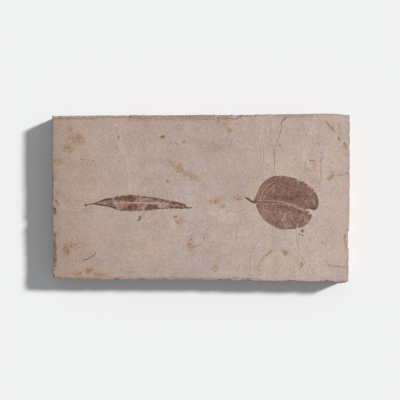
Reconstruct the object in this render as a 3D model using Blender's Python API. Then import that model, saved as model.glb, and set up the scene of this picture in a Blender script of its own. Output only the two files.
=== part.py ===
"""Fossil leaf plate.

A rectangular block of fine-grained limestone lies on its sawn back. Its upper face is a natural split
along the bedding. Two carbonised leaves and two small plant scraps are seated in shallow beds in that
face, and thin cracks and flake scars run out from the round leaf.

The origin is the centre of the back. +X runs along the long side, +Y across the face towards the
leaves' upper sides, and +Z out of the face. Places on the face are given in millimetres.
"""
import math

import bmesh
import bpy
from mathutils import Vector, noise

# Driving dimensions of the block, in millimetres
LENGTH = 298.0
WIDTH = 171.0
THICKNESS = 25.0
LEFT = -LENGTH / 2
RIGHT = LENGTH / 2
TOP = WIDTH / 2
BOTTOM = -WIDTH / 2

# How the sides and rims are worn. The rough rings and the ledge are shares of the way to the face rim
RIM_SPACING = 4.0
RIM_INSET = 0.5
RIM_DROP = 0.5
RIM_VARIATION = 0.5
BACK_EASE_HEIGHT = 0.8
BACK_EASE_INSET = 0.4
ROUGH_RINGS = (0.36, 0.68)
SIDE_ROUGHNESS = 0.7
SHOULDER_INSET = 0.1
LEDGE_INSET = 0.75
LEDGE_DROP = 0.6
NOISE_SCALE = 0.12

# A rim point belongs to a side when it is this close to the block's box; the low side slants more
SIDE_BAND = 2.6
LOW_SIDE_BAND = 7.0

# Fossil films: their beds in the face, and how far the films stand proud of it
BED_DEPTH = 1.0
GAP = 0.3
FILM_RELIEF = 0.35
BED_CUT_ABOVE = 1.0
VEIN_RELIEF = 0.3
VEIN_ROOT = 0.3
TOOTH_PITCH = 2.2
UPPER_TOOTH = 0.55
LOWER_TOOTH = 0.3

# Cracks and flake scars
CUTTER_LIFT = 0.5
CRACK_WIDTH = 1.0
CRACK_DEPTH = 0.6
SCAR_DEPTH = 0.4
SCAR_SLOPE = 0.35

# The block was sawn slightly out of square, so its outline is given corner by corner
OUTLINE = (
    (LEFT, TOP - 1.5), (-141.0, TOP - 1.9), (-101.0, TOP - 1.5), (-1.0, TOP - 1.1), (49.0, TOP - 0.8),
    (109.0, TOP), (134.0, TOP), (140.5, TOP - 1.1), (142.5, TOP - 2.4), (RIGHT, TOP - 2.5),
    (RIGHT, 49.0), (RIGHT - 0.5, 39.0), (RIGHT - 0.6, -6.0), (RIGHT - 1.0, -20.0), (RIGHT - 1.4, -50.0),
    (RIGHT - 1.7, BOTTOM + 3.2), (144.6, BOTTOM + 2.3), (142.6, BOTTOM), (134.0, BOTTOM + 0.3),
    (127.5, BOTTOM + 1.5), (124.0, BOTTOM + 2.9), (99.0, BOTTOM + 3.7), (69.0, BOTTOM + 3.9),
    (39.0, BOTTOM + 4.5), (-1.0, BOTTOM + 5.5), (-101.0, BOTTOM + 5.5), (LEFT + 2.0, BOTTOM + 6.5),
    (LEFT + 1.0, BOTTOM + 7.5), (LEFT + 0.5, 0.0),
)

# Stretches of the upper rim that have broken away: side, from, to, inset and drop, in millimetres
RIM_BREAKS = (
    ("top", LEFT, -70.0, 2.4, 1.8),
    ("top", -56.0, -6.0, 1.7, 1.2),
    ("top", 14.0, 31.0, 2.6, 1.6),
    ("top", 42.0, 56.0, 1.8, 2.0),
    ("top", 72.0, 112.0, 1.5, 1.7),
    ("left", -16.0, -8.0, 4.4, 6.0),
    ("left", -79.5, -16.0, 2.9, 4.5),
    ("right", -50.0, -31.0, 3.2, 5.0),
    ("bottom", 123.0, 145.0, 2.6, 10.0),
)

# Cracks, each a path on the face
CRACKS = {
    "crack_north_west": ((56.3, 79.0), (56.4, 56.0), (58.1, 47.0), (58.9, 36.0), (60.2, 30.8),
                         (63.0, 24.6), (66.8, 20.6)),
    "crack_north_short": ((61.7, 51.0), (61.9, 46.0), (62.2, 41.0)),
    "crack_north": ((83.8, 80.2), (81.0, 77.3), (79.5, 74.4), (79.3, 69.8), (77.3, 61.8),
                    (74.2, 55.1), (73.2, 49.2), (72.6, 43.6), (73.3, 31.6), (74.3, 23.6)),
    "crack_sliver": ((72.2, 81.8), (69.6, 76.0), (68.3, 63.6), (69.3, 57.0), (71.6, 54.2)),
    "crack_north_east": ((109.0, 72.6), (106.4, 69.4), (104.6, 65.4), (103.2, 61.4)),
    "crack_south_west": ((61.2, -32.6), (57.2, -41.0), (52.6, -49.6), (49.6, -55.4), (48.6, -66.2),
                         (49.0, -73.4)),
    "crack_south": ((93.8, -32.4), (95.6, -41.2), (96.6, -49.0), (99.2, -56.2), (102.4, -61.6),
                    (106.0, -71.0), (109.2, -79.6)),
    "crack_south_branch": ((90.6, -46.4), (94.4, -52.0), (97.6, -56.6)),
    "crack_south_east": ((107.6, -71.4), (112.6, -76.4), (115.6, -80.4)),
    "crack_low": ((37.0, -62.6), (37.2, -68.0), (36.4, -73.4)),
    "crack_middle": ((8.4, -27.4), (4.2, -32.4), (3.2, -41.0), (11.4, -42.2), (21.4, -43.0),
                     (30.4, -45.2), (34.4, -51.6)),
    "crack_west": ((47.6, -15.0), (38.6, -23.6), (31.0, -33.4)),
}

# Shallow scars where a thin flake has lifted off, each an outline on the face
SCARS = {
    "scar_sliver": ((71.2, 80.6), (69.4, 71.0), (69.2, 62.6), (72.6, 55.6), (76.4, 61.6),
                    (78.4, 70.4), (79.4, 78.6)),
    "scar_north": ((63.0, 53.4), (71.4, 52.6), (72.0, 43.0), (72.2, 31.0), (71.4, 25.6),
                   (64.8, 26.4), (61.6, 31.6), (62.8, 42.0)),
    "scar_rim": ((15.4, 81.4), (17.0, 77.4), (22.6, 78.2), (29.4, 78.6), (32.6, 80.6)),
    "scar_east": ((108.4, 38.6), (112.6, 38.0), (113.0, 31.0), (111.4, 24.6), (108.6, 27.0)),
    "scar_south_west": ((61.0, -35.4), (71.4, -37.0), (72.4, -48.6), (64.0, -55.6), (57.0, -66.0),
                        (51.6, -69.4), (51.0, -58.4), (54.6, -50.0)),
}

# Round leaf: its edge runs from the stalk over the top to the notch and back along the lower side
ROUND_UPPER = ((54.0, 0.4), (56.9, 7.4), (60.7, 14.5), (66.1, 19.4), (71.5, 22.1), (75.9, 22.9),
               (82.4, 22.8), (90.0, 21.6), (96.5, 19.9), (101.3, 17.9), (105.7, 15.0),
               (110.0, 11.8), (113.8, 7.4), (116.5, 2.6), (117.6, -2.9), (117.1, -7.2),
               (114.9, -10.5), (112.7, -11.1), (109.5, -10.0), (106.5, -10.2))
ROUND_LOWER = ((108.4, -13.7), (111.1, -16.7), (110.0, -19.1), (107.3, -23.5), (103.5, -26.7),
               (99.7, -28.6), (97.4, -28.9), (96.3, -26.6), (95.2, -29.9), (88.8, -30.1),
               (82.4, -30.3), (75.9, -29.0), (69.4, -25.6), (63.4, -20.8), (59.6, -15.9),
               (56.3, -9.4), (54.6, -4.4))
ROUND_STALK = ((51.6, -4.0), (48.2, -1.9), (44.4, 0.7), (45.0, 1.9), (49.2, -0.1), (52.0, -2.2))
ROUND_NOTCH = (106.5, -10.2)
ROUND_TIP = (111.1, -16.7)
ROUND_TEAR = ((97.4, -28.9), (96.3, -26.6), (95.2, -29.9))
ROUND_VEINS = {
    "round_midrib": (1.2, ((55.2, -3.0), (65.0, -3.2), (77.0, -3.8), (86.7, -4.8), (93.0, -6.6),
                           (99.7, -10.0), (104.0, -11.6))),
    "round_vein_a": (0.7, ((58.0, -3.2), (61.6, 3.4), (66.0, 9.6), (71.0, 16.6))),
    "round_vein_b": (0.6, ((62.0, -3.3), (69.4, 4.6), (76.0, 12.4), (80.4, 18.6))),
    "round_vein_c": (0.6, ((74.0, -3.7), (82.4, 2.6), (89.4, 10.4), (92.4, 16.0))),
    "round_vein_d": (0.6, ((86.0, -4.7), (94.0, 0.4), (101.0, 4.0), (107.4, 8.6))),
    "round_vein_e": (0.7, ((58.4, -3.2), (62.4, -9.4), (68.0, -16.4), (74.4, -22.6))),
    "round_vein_f": (0.6, ((68.0, -3.4), (75.0, -10.6), (81.6, -17.0), (85.6, -24.4))),
    "round_vein_g": (0.6, ((83.0, -4.5), (90.0, -11.0), (96.6, -16.4), (100.4, -22.0))),
}

# Lance leaf: margins from the stalk on the left to the broken tip on the right
LANCE_UPPER = ((-116.2, -5.7), (-114.4, -4.9), (-108.4, -4.2), (-103.4, -2.9), (-96.5, 0.0),
               (-88.9, 1.1), (-81.2, 2.5), (-72.0, 3.8), (-64.4, 3.7), (-56.7, 2.9), (-47.5, 1.8),
               (-38.3, -0.1), (-29.2, -2.0), (-21.5, -3.6), (-15.4, -4.9))
LANCE_TIP = ((-15.0, -7.4), (-12.6, -8.1), (-9.3, -7.8), (-9.4, -8.9), (-12.8, -9.6))
LANCE_LOWER = ((-16.2, -9.8), (-26.1, -9.5), (-34.5, -9.7), (-41.4, -10.1), (-49.1, -11.2),
               (-55.2, -11.6), (-67.4, -11.9), (-78.1, -11.6), (-82.7, -11.1), (-86.6, -9.6),
               (-91.9, -8.0), (-98.0, -6.9), (-103.4, -6.1), (-108.4, -5.5), (-114.6, -6.8))
UPPER_TEETH_SPAN = (-83.0, -24.0)
LOWER_TEETH_SPAN = (-80.0, -24.0)
LANCE_MIDRIB = (1.2, ((-107.0, -4.8), (-96.0, -4.4), (-81.0, -4.2), (-60.0, -4.2), (-40.0, -4.8),
                      (-26.0, -5.8), (-16.6, -6.8)))
LANCE_CRACK = ((-88.6, 2.2), (-86.4, -2.0), (-84.4, -6.6), (-81.2, -12.6))

# Scraps
STEM_PATH = ((-118.2, -61.6), (-116.4, -60.8), (-113.8, -60.3), (-111.6, -58.9), (-108.8, -57.3),
             (-106.6, -55.6), (-105.3, -53.2))
STEM_WIDTH = 1.3
SCRAP_OUTLINE = ((-62.5, -17.9), (-61.3, -16.9), (-60.1, -17.3), (-59.7, -18.8), (-60.3, -20.5),
                 (-61.7, -21.6), (-63.8, -22.0), (-62.9, -20.8), (-62.3, -19.4))

# Colours as seen, each red, green and blue out of 255
STONE_COLOUR = (180, 160, 149)
ROUND_COLOUR = (134, 104, 94)
LANCE_COLOUR = (116, 84, 74)
SCRAP_COLOUR = (100, 76, 72)


def metres(x, y, z):
    """A place given in millimetres, as a vector in metres."""
    return Vector((x, y, z)) * 0.001


def linear_colour(rgb):
    """A displayed colour as the linear values that a material takes."""
    channels = []
    for value in rgb:
        part = value / 255.0
        channels.append(part / 12.92 if part <= 0.04045 else ((part + 0.055) / 1.055) ** 2.4)
    return (channels[0], channels[1], channels[2], 1.0)


def make_material(name, rgb, roughness):
    material = bpy.data.materials.new(name)
    material.use_nodes = True
    shader = material.node_tree.nodes["Principled BSDF"]
    shader.inputs["Base Color"].default_value = linear_colour(rgb)
    shader.inputs["Roughness"].default_value = roughness
    shader.inputs["Metallic"].default_value = 0.0
    return material


def spline(points, steps, corners=()):
    """Points along an open curve through the given points, with a sharp turn at each corner."""
    curve = []
    last = len(points) - 1
    for index in range(last):
        here = Vector(points[index])
        there = Vector(points[index + 1])
        before = here if index == 0 or points[index] in corners else Vector(points[index - 1])
        after = there if index + 1 == last or points[index + 1] in corners else Vector(points[index + 2])
        for step in range(steps):
            t = step / steps
            curve.append(0.5 * (2.0 * here + (there - before) * t
                                + (2.0 * before - 5.0 * here + 4.0 * there - after) * t ** 2
                                + (3.0 * here - before - 3.0 * there + after) * t ** 3))
    curve.append(Vector(points[last]))
    return curve


def evenly_spaced(curve, spacing):
    """The same curve with its points about one spacing apart."""
    lengths = [0.0]
    for a, b in zip(curve, curve[1:]):
        lengths.append(lengths[-1] + (b - a).length)
    count = max(1, round(lengths[-1] / spacing))
    points = []
    segment = 0
    for index in range(count + 1):
        target = lengths[-1] * index / count
        while segment < len(curve) - 2 and lengths[segment + 1] < target:
            segment += 1
        span = lengths[segment + 1] - lengths[segment]
        points.append(curve[segment].lerp(curve[segment + 1], (target - lengths[segment]) / span))
    return points


def side_directions(points, closed):
    """For each point, the direction to the left of the way along, longer at a sharp turn."""
    directions = []
    count = len(points)
    for index, point in enumerate(points):
        before = points[index - 1] if closed or index > 0 else point
        after = points[(index + 1) % count] if closed or index < count - 1 else point
        arriving = (point - before).normalized() if point != before else (after - point).normalized()
        leaving = (after - point).normalized() if point != after else arriving
        normal_in = Vector((-arriving.y, arriving.x))
        normal_out = Vector((-leaving.y, leaving.x))
        directions.append((normal_in + normal_out) / max(0.35, 1.0 + normal_in.dot(normal_out)))
    return directions


def widened(outline, distance):
    """A clockwise outline moved outwards, which is to the left of its way round."""
    return [point + side * distance for point, side in zip(outline, side_directions(outline, True))]


def link(name, bm, material):
    """The finished mesh as a named object, with its faces pointing out."""
    bmesh.ops.recalc_face_normals(bm, faces=bm.faces)
    mesh = bpy.data.meshes.new(name)
    bm.to_mesh(mesh)
    bm.free()
    if material:
        mesh.materials.append(material)
    body = bpy.data.objects.new(name, mesh)
    bpy.context.collection.objects.link(body)
    return body


def loft(name, rings, material=None):
    """A closed solid through rings of (x, y, z) points in millimetres, with both ends capped."""
    bm = bmesh.new()
    loops = [[bm.verts.new(metres(*point)) for point in ring] for ring in rings]
    count = len(loops[0])
    for lower, upper in zip(loops, loops[1:]):
        for index in range(count):
            after = (index + 1) % count
            bm.faces.new((lower[index], lower[after], upper[after], upper[index]))
    bm.faces.new(loops[0])
    bm.faces.new(loops[-1])
    return link(name, bm, material)


def prism(name, outline, bottom, top, material=None):
    """An upright solid with the same outline at both heights."""
    return loft(name, [[(p.x, p.y, height) for p in outline] for height in (bottom, top)], material)


def wedge(name, path, width, base_height, edge_height):
    """A three-sided bar along a path: flat at the base height, with one edge at the other height.

    It starts and ends in a point, so a crack or a vein that it makes runs out at both ends.
    """
    points = spline(path, 2)
    sides = side_directions(points, False)
    bm = bmesh.new()
    first = bm.verts.new(metres(points[0].x, points[0].y, base_height))
    last = bm.verts.new(metres(points[-1].x, points[-1].y, base_height))
    sections = []
    for point, side in zip(points[1:-1], sides[1:-1]):
        left = point + side * width / 2
        right = point - side * width / 2
        corners = ((left.x, left.y, base_height), (right.x, right.y, base_height),
                   (point.x, point.y, edge_height))
        sections.append([bm.verts.new(metres(*corner)) for corner in corners])
    for a, b in zip(sections, sections[1:]):
        for i in range(3):
            bm.faces.new((a[i], a[(i + 1) % 3], b[(i + 1) % 3], b[i]))
    for i in range(3):
        bm.faces.new((first, sections[0][i], sections[0][(i + 1) % 3]))
        bm.faces.new((last, sections[-1][i], sections[-1][(i + 1) % 3]))
    return link(name, bm, None)


def combine(body, tool, operation):
    """Cut the tool from the body, or join it on, and keep the tool only as a guide."""
    modifier = body.modifiers.new(tool.name, "BOOLEAN")
    modifier.operation = operation
    modifier.object = tool
    modifier.solver = "EXACT"
    tool.hide_render = True
    tool.display_type = "WIRE"


def rim_break(side, place):
    """Inset and drop of the upper rim on one side of the block, at a place along it."""
    for name, start, end, inset, drop in RIM_BREAKS:
        if name == side and start <= place <= end:
            return inset, drop
    return RIM_INSET, RIM_DROP


def rim_points():
    """Points all round the outline, each with its inset and its drop at the upper rim."""
    corners = [Vector(point) for point in OUTLINE]
    rim = []
    for here, there in zip(corners, corners[1:] + corners[:1]):
        parts = max(1, round((there - here).length / RIM_SPACING))
        for part in range(parts):
            point = here.lerp(there, part / parts)
            inset = Vector((0.0, 0.0))
            drop = RIM_DROP
            if abs(point.x) > RIGHT - SIDE_BAND:
                inset_x, drop_x = rim_break("left" if point.x < 0 else "right", point.y)
                inset.x = -math.copysign(inset_x, point.x)
                drop = max(drop, drop_x)
            if point.y > TOP - SIDE_BAND or point.y < BOTTOM + LOW_SIDE_BAND:
                inset_y, drop_y = rim_break("top" if point.y > 0 else "bottom", point.x)
                inset.y = -math.copysign(inset_y, point.y)
                drop = max(drop, drop_y)
            worn = 1.0 + RIM_VARIATION * noise.noise(point.to_3d() * NOISE_SCALE)
            rim.append((point, inset * worn, drop * worn))
    return rim


def make_slab(material):
    """The block: sawn back and rough sides, with a worn and broken rim round the split face."""
    rim = rim_points()

    def ring(inset_share, height_of):
        return [(p.x + inset.x * inset_share, p.y + inset.y * inset_share, height_of(drop))
                for p, inset, drop in rim]

    def rough_ring(share):
        points = []
        for p, inset, drop in rim:
            height = (THICKNESS - drop) * share
            rough = 0.5 + 0.5 * noise.noise(Vector((p.x, p.y, 3 * height)) * NOISE_SCALE)
            inward = inset.normalized() * SIDE_ROUGHNESS * rough
            points.append((p.x + inward.x, p.y + inward.y, height))
        return points

    rings = [
        ring(BACK_EASE_INSET, lambda drop: 0.0),
        ring(0.0, lambda drop: BACK_EASE_HEIGHT),
        *[rough_ring(share) for share in ROUGH_RINGS],
        ring(SHOULDER_INSET, lambda drop: THICKNESS - drop),
        ring(LEDGE_INSET, lambda drop: THICKNESS - drop * LEDGE_DROP),
        ring(1.0, lambda drop: THICKNESS),
    ]
    return loft("slab", rings, material)


def cut_face(slab):
    """Cracks and flake scars in the split face."""
    for name, path in CRACKS.items():
        crack = wedge(name, path, CRACK_WIDTH, THICKNESS + CUTTER_LIFT, THICKNESS - CRACK_DEPTH)
        combine(slab, crack, "DIFFERENCE")
    for name, outline in SCARS.items():
        floor = [Vector(point) for point in outline]
        brim = widened(floor, SCAR_SLOPE)
        rings = [[(p.x, p.y, THICKNESS - SCAR_DEPTH) for p in floor],
                 [(p.x, p.y, THICKNESS + SCAR_DEPTH) for p in brim]]
        combine(slab, loft(name, rings), "DIFFERENCE")


def make_film(name, outline, slab, material):
    """A thin fossil film in its own bed in the face, standing slightly proud of it."""
    bed_floor = THICKNESS - BED_DEPTH
    bed = prism(name + "_bed", widened(outline, GAP), bed_floor, THICKNESS + BED_CUT_ABOVE)
    combine(slab, bed, "DIFFERENCE")
    return prism(name, outline, bed_floor + GAP, THICKNESS + FILM_RELIEF, material)


def add_vein(film, name, width, path):
    top = THICKNESS + FILM_RELIEF
    combine(film, wedge(name, path, width, top - VEIN_ROOT, top + VEIN_RELIEF), "UNION")


def make_round_leaf(slab):
    """The round leaf: a blade with a notch and a small tear in its edge, and a short bent stalk."""
    corners = (ROUND_NOTCH, ROUND_TIP) + ROUND_TEAR + (ROUND_UPPER[0], ROUND_LOWER[-1])
    edge = spline(ROUND_UPPER + ROUND_LOWER, 2, corners)
    outline = edge + [Vector(point) for point in ROUND_STALK]
    material = make_material("round_leaf", ROUND_COLOUR, 0.75)
    film = make_film("round_leaf", outline, slab, material)
    for name, (width, path) in ROUND_VEINS.items():
        add_vein(film, name, width, path)


def toothed(margin, tooth, span):
    """A leaf margin whose points step in and out, as small teeth, over a span along x."""
    points = evenly_spaced(margin, TOOTH_PITCH / 2)
    sides = side_directions(points, False)
    for index, side in enumerate(sides):
        if index % 2 and span[0] < points[index].x < span[1]:
            points[index] = points[index] + side * tooth
    return points


def make_lance_leaf(slab):
    """The slender leaf: a toothed blade on a thin stalk, broken at its tip and cracked across."""
    upper = toothed(spline(LANCE_UPPER, 3), UPPER_TOOTH, UPPER_TEETH_SPAN)
    lower = toothed(spline(LANCE_LOWER, 3), LOWER_TOOTH, LOWER_TEETH_SPAN)
    outline = upper + [Vector(point) for point in LANCE_TIP] + lower
    material = make_material("lance_leaf", LANCE_COLOUR, 0.75)
    film = make_film("lance_leaf", outline, slab, material)
    add_vein(film, "lance_midrib", *LANCE_MIDRIB)
    top = THICKNESS + FILM_RELIEF
    crack = wedge("lance_crack", LANCE_CRACK, 2 * CRACK_WIDTH, top + CUTTER_LIFT, top - CRACK_DEPTH)
    combine(film, crack, "DIFFERENCE")


def make_scraps(slab):
    """A curved piece of stem and a small comma-shaped scrap of leaf."""
    material = make_material("scrap", SCRAP_COLOUR, 0.75)
    path = spline(STEM_PATH, 1)
    sides = side_directions(path, False)
    last = len(path) - 1
    upper = []
    lower = []
    for index, (point, side) in enumerate(zip(path, sides)):
        half = STEM_WIDTH / 2 * (0.6 + 0.4 * math.sin(math.pi * index / last))
        upper.append(point + side * half)
        lower.append(point - side * half)
    make_film("stem_scrap", upper + lower[::-1], slab, material)
    comma = spline(SCRAP_OUTLINE + SCRAP_OUTLINE[:1], 1)[:-1]
    make_film("leaf_scrap", comma, slab, material)


def main():
    for old in list(bpy.data.objects):
        bpy.data.objects.remove(old)
    slab = make_slab(make_material("stone", STONE_COLOUR, 0.85))
    cut_face(slab)
    make_round_leaf(slab)
    make_lance_leaf(slab)
    make_scraps(slab)


main()
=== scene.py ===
"""The looks of the fossil leaf plate.

A sawn block of pinkish limestone lies on its back. Its upper side is a split bedding plane with two brown
carbonised leaves and two small scraps. The block, the leaves and the scraps are modelled again here as fine
meshes, in the places of the plain solids.

Places on the face are in millimetres from its middle, with +X to the right and +Y up as the camera sees it.
"""
import itertools
import math

import bmesh
import bpy
import numpy as np
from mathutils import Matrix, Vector, geometry, kdtree


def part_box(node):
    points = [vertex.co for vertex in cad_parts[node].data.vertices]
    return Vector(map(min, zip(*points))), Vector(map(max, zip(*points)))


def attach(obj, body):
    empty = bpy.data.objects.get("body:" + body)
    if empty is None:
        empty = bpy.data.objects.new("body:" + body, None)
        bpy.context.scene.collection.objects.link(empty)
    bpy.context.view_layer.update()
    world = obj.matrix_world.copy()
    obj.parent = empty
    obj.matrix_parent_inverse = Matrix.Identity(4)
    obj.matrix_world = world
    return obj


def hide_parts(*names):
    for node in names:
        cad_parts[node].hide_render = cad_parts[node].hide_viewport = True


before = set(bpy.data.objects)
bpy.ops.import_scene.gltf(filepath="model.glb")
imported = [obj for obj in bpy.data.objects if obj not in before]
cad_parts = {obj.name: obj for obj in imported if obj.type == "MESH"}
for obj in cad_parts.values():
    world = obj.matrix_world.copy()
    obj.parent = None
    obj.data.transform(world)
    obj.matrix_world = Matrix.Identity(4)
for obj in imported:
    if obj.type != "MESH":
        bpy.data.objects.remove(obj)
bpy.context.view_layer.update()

MM = 0.001

# The block's sizes, from the frame, in millimetres
slab_low, slab_high = (np.array(corner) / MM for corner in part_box("slab"))
LEFT, BOTTOM, BACK = slab_low
RIGHT, TOP, FACE = slab_high

# How far apart the points of the meshes are
RIM_STEP = 1.1
FACE_STEP = 1.0
UNDER_FILM_STEP = 2.6
BACK_STEP = 2.6
FILM_STEP = 0.34
FILM_EDGE_STEP = 0.4
FILM_BACK_STEP = 3.0
SCRAP_STEP = 0.25
SCRAP_EDGE_STEP = 0.35
WALL_ROWS = 14
CURVE_STEPS = 12

# How far free points keep from lines, as a share of their spacing, how far lines keep from the rim, jitter
FACE_CLEAR = 0.48
BACK_CLEAR = 0.6
FILM_CLEAR = 0.55
LINE_CLEAR = 0.8
JITTER = 0.22

# Edges sharper than this many degrees stay sharp
SLAB_SHARP = 38
FILM_SHARP = 60

# The block was sawn slightly out of square, so its outline is given corner by corner
OUTLINE = (
    (LEFT, TOP - 1.5), (-141, TOP - 1.9), (-101, TOP - 1.5), (-1, TOP - 1.1), (49, TOP - 0.8), (109, TOP),
    (134, TOP), (140.5, TOP - 0.7), (142.5, TOP - 1.2), (RIGHT, TOP - 1.3), (RIGHT, 49), (RIGHT, 39),
    (RIGHT - 0.1, -6), (RIGHT - 0.6, -20), (RIGHT - 1, -50), (RIGHT - 1.2, BOTTOM + 3),
    (145.2, BOTTOM + 1.8), (142.6, BOTTOM), (134, BOTTOM + 0.1), (127.5, BOTTOM + 1.1), (124, BOTTOM + 2.4),
    (99, BOTTOM + 3.1), (69, BOTTOM + 3.3), (39, BOTTOM + 3.8), (-1, BOTTOM + 4.7), (-101, BOTTOM + 4.7),
    (LEFT + 1.6, BOTTOM + 5.8), (LEFT + 0.3, BOTTOM + 7), (LEFT, 0),
)

# Wear of the upper rim: side, from, to, inset and drop
RIM_BREAKS = (
    ("top", LEFT, -70, 2.4, 1.8), ("top", -56, -6, 1.7, 1.2), ("top", 14, 31, 2.4, 1.6),
    ("top", 42, 56, 1.8, 2), ("top", 72, 112, 1.5, 1.7), ("left", -16.5, -8, 4, 1.5),
    ("left", -69, -33, 3.6, 0.8), ("right", -50, -31, 3.2, 5), ("bottom", 123, 145, 2.6, 10),
)

# Single chips of the rim: side, middle, half length, inset and drop
NAMED_CHIPS = (
    ("top", 37, 4.5, 3.4, 3), ("top", -60, 2.5, 1.3, 1.5), ("top", 62, 3, 1.2, 1.2),
    ("top", 146, 3.5, 0.7, 1.2), ("left", -78.6, 3.8, 2.2, 2.6), ("left", 20, 4, 1.4, 2),
    ("right", 66, 3, 1.2, 2), ("right", -64, 3.5, 1.6, 2.4), ("bottom", 20, 4, 1.2, 2.2),
    ("bottom", -60, 6, 1, 1.8), ("bottom", 90, 5, 1.2, 2),
)

# Small chips at random: how many on a side, then half length, inset and drop, each the least and what more
SMALL_CHIPS_A_SIDE = 26
SMALL_CHIP = ((0.8, 3.0), (0.35, 0.9), (0.4, 1.6))

# Wear along the whole rim: inset and drop, how breaks and corners fade, and a dark line of painted shade
# along it
RIM_INSET = 0.4
RIM_DROP = 0.5
BREAK_END = 1.5
CORNER_REACH = 9.0
SHOULDER_SHARE = 0.12
SLOPE_ROWS = ((0.38, 0.3), (0.62, 0.46), (0.84, 0.7))
RIM_ROUNDING = 0.12
RIM_ROUND_WIDTH = 0.8
RIM_DARK_WIDTH = 0.7
RIM_DARK_DEPTH = 1.5

# The sawn sides: how far they lie inside the outline, and their hollows, roughness and worn corners
SIDE_INSET = 0.12
SIDE_HOLLOWS = 0.3
SIDE_ROUGHNESS = 0.08
SIDE_LIMITS = (0.02, 1.2)
CORNER_WEAR = 2.0
CORNER_WIDTH = 5.0
BACK_EASE = 0.4
BACK_EASE_HEIGHT = 0.8

# Waves of the bedding plane: height, length and seed, and how far they lower the face as a whole
WAVES = ((0.42, 44, 0), (0.15, 15, 1), (0.045, 5.5, 2), (0.012, 2.2, 3))
WAVES_LOWER = 0.08

# Cracks: depth, darkness of the painted shade along the groove, half width and path
CRACKS = (
    (0.12, 0.24, 0.35, ((56, 79), (56.4, 70), (56.7, 54))),
    (0.2, 0.34, 0.4, ((58, 55), (57.7, 50), (59, 42.3), (59, 35.7), (56.4, 24))),
    (0.22, 0.38, 0.4, ((61.6, 39), (60.4, 33), (63.4, 25.7), (66, 22.3))),
    (0.1, 0.2, 0.34, ((41, 22), (46, 14.4), (52.4, 9))),
    (0.1, 0.18, 0.34, ((48.6, 22), (52.4, 15.4), (56.4, 11.4))),
    (0.3, 0.6, 0.45, ((63.4, 55.2), (61.8, 51.5), (61.8, 45.7), (61.4, 40))),
    (0.34, 0.74, 0.46, ((87, 82.8), (83.5, 80.2), (80.2, 76.5), (79.8, 69.8), (77.7, 62.3), (76, 57.3),
                        (73.5, 49.8), (72.8, 40.7), (73.1, 30.7), (74.3, 23.8))),
    (0.3, 0.64, 0.46, ((71.2, 83.6), (69.8, 76.5), (68.7, 68.2), (68.5, 61.5), (70.6, 55.7))),
    (0.14, 0.3, 0.36, ((76.4, 56.5), (75.2, 50.7), (74.2, 42.3))),
    (0.26, 0.42, 0.45, ((109.6, 74.4), (107, 70.4), (104.8, 65.4), (103.2, 57.4), (103.6, 51))),
    (0.26, 0.58, 0.5, ((61.2, -32.6), (57.2, -41), (52.6, -49.6), (49.6, -55.4), (48.6, -66.2), (49, -73.4))),
    (0.22, 0.58, 0.5, ((93.8, -32.4), (95.6, -41.2), (96.6, -49), (99.2, -56.2), (102.4, -61.6), (106, -71),
                       (109.2, -79.2))),
    (0.24, 0.4, 0.35, ((90.6, -46.4), (94.4, -52), (97.6, -56.6))),
    (0.2, 0.52, 0.46, ((106.4, -65.4), (111, -73), (115.8, -79.4))),
    (0.28, 0.55, 0.35, ((37, -62.6), (37.2, -68), (36, -73.4))),
    (0.3, 0.68, 0.42, ((8.4, -27), (4, -32.4), (2.4, -40.8), (9.4, -42.8), (17.4, -43), (24, -44.4),
                       (30.4, -46.2), (34.4, -51.6))),
    (0.14, 0.48, 0.38, ((47.6, -12), (38.6, -22), (27, -33.4))),
    (0.12, 0.4, 0.38, ((53, -8), (45, -15.4), (36, -25.6))),
    (0.12, 0.3, 0.3, ((-57, -22.4), (-62.6, -26.6), (-69.6, -33.4))),
    (0.14, 0.75, 0.34, ((-122.4, -11.6), (-118.4, -10.8), (-114.8, -9.2))),
    (0.1, 0.25, 0.35, ((99, -35), (103.6, -43.6), (107, -50.2), (107.6, -57.6))),
    (0.22, 0.45, 0.38, ((107.4, 38.4), (110.6, 39), (113.4, 37.4), (114, 33.4), (111.6, 29.4))),
    (0.16, 0.28, 0.36, ((121.6, 45), (119.4, 38), (118.8, 31), (119.6, 22), (118.4, 14))),
    (0.14, 0.25, 0.34, ((103, 46), (102, 38), (103.4, 30), (101.6, 24))),
    (0.12, 0.25, 0.34, ((138, 48), (131, 42.4), (127, 34), (126.4, 26))),
    (0.12, 0.22, 0.34, ((91, 78), (92.6, 70), (90.6, 62), (91.6, 55))),
    (0.12, 0.25, 0.34, ((71.6, -32.6), (73.4, -41), (72.4, -50), (69.8, -54))),
    (0.12, 0.22, 0.34, ((112, -20), (118, -27), (124, -31))),
    (0.1, 0.3, 0.35, ((-78, -40.6), (-80.4, -46), (-81.6, -50.4))),
)

# How cracks wander (drift, size of the lumps, first seed), close at their ends and vary between
CRACK_DRIFT = ((0.25, 3.0, 40), (0.12, 1.2, 80))
CRACK_ENDS = (-0.5, 3.0)
CRACK_OPEN = 0.76
CRACK_VARIES = 0.6
CRACK_LIMITS = (0.4, 1.0)

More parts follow.
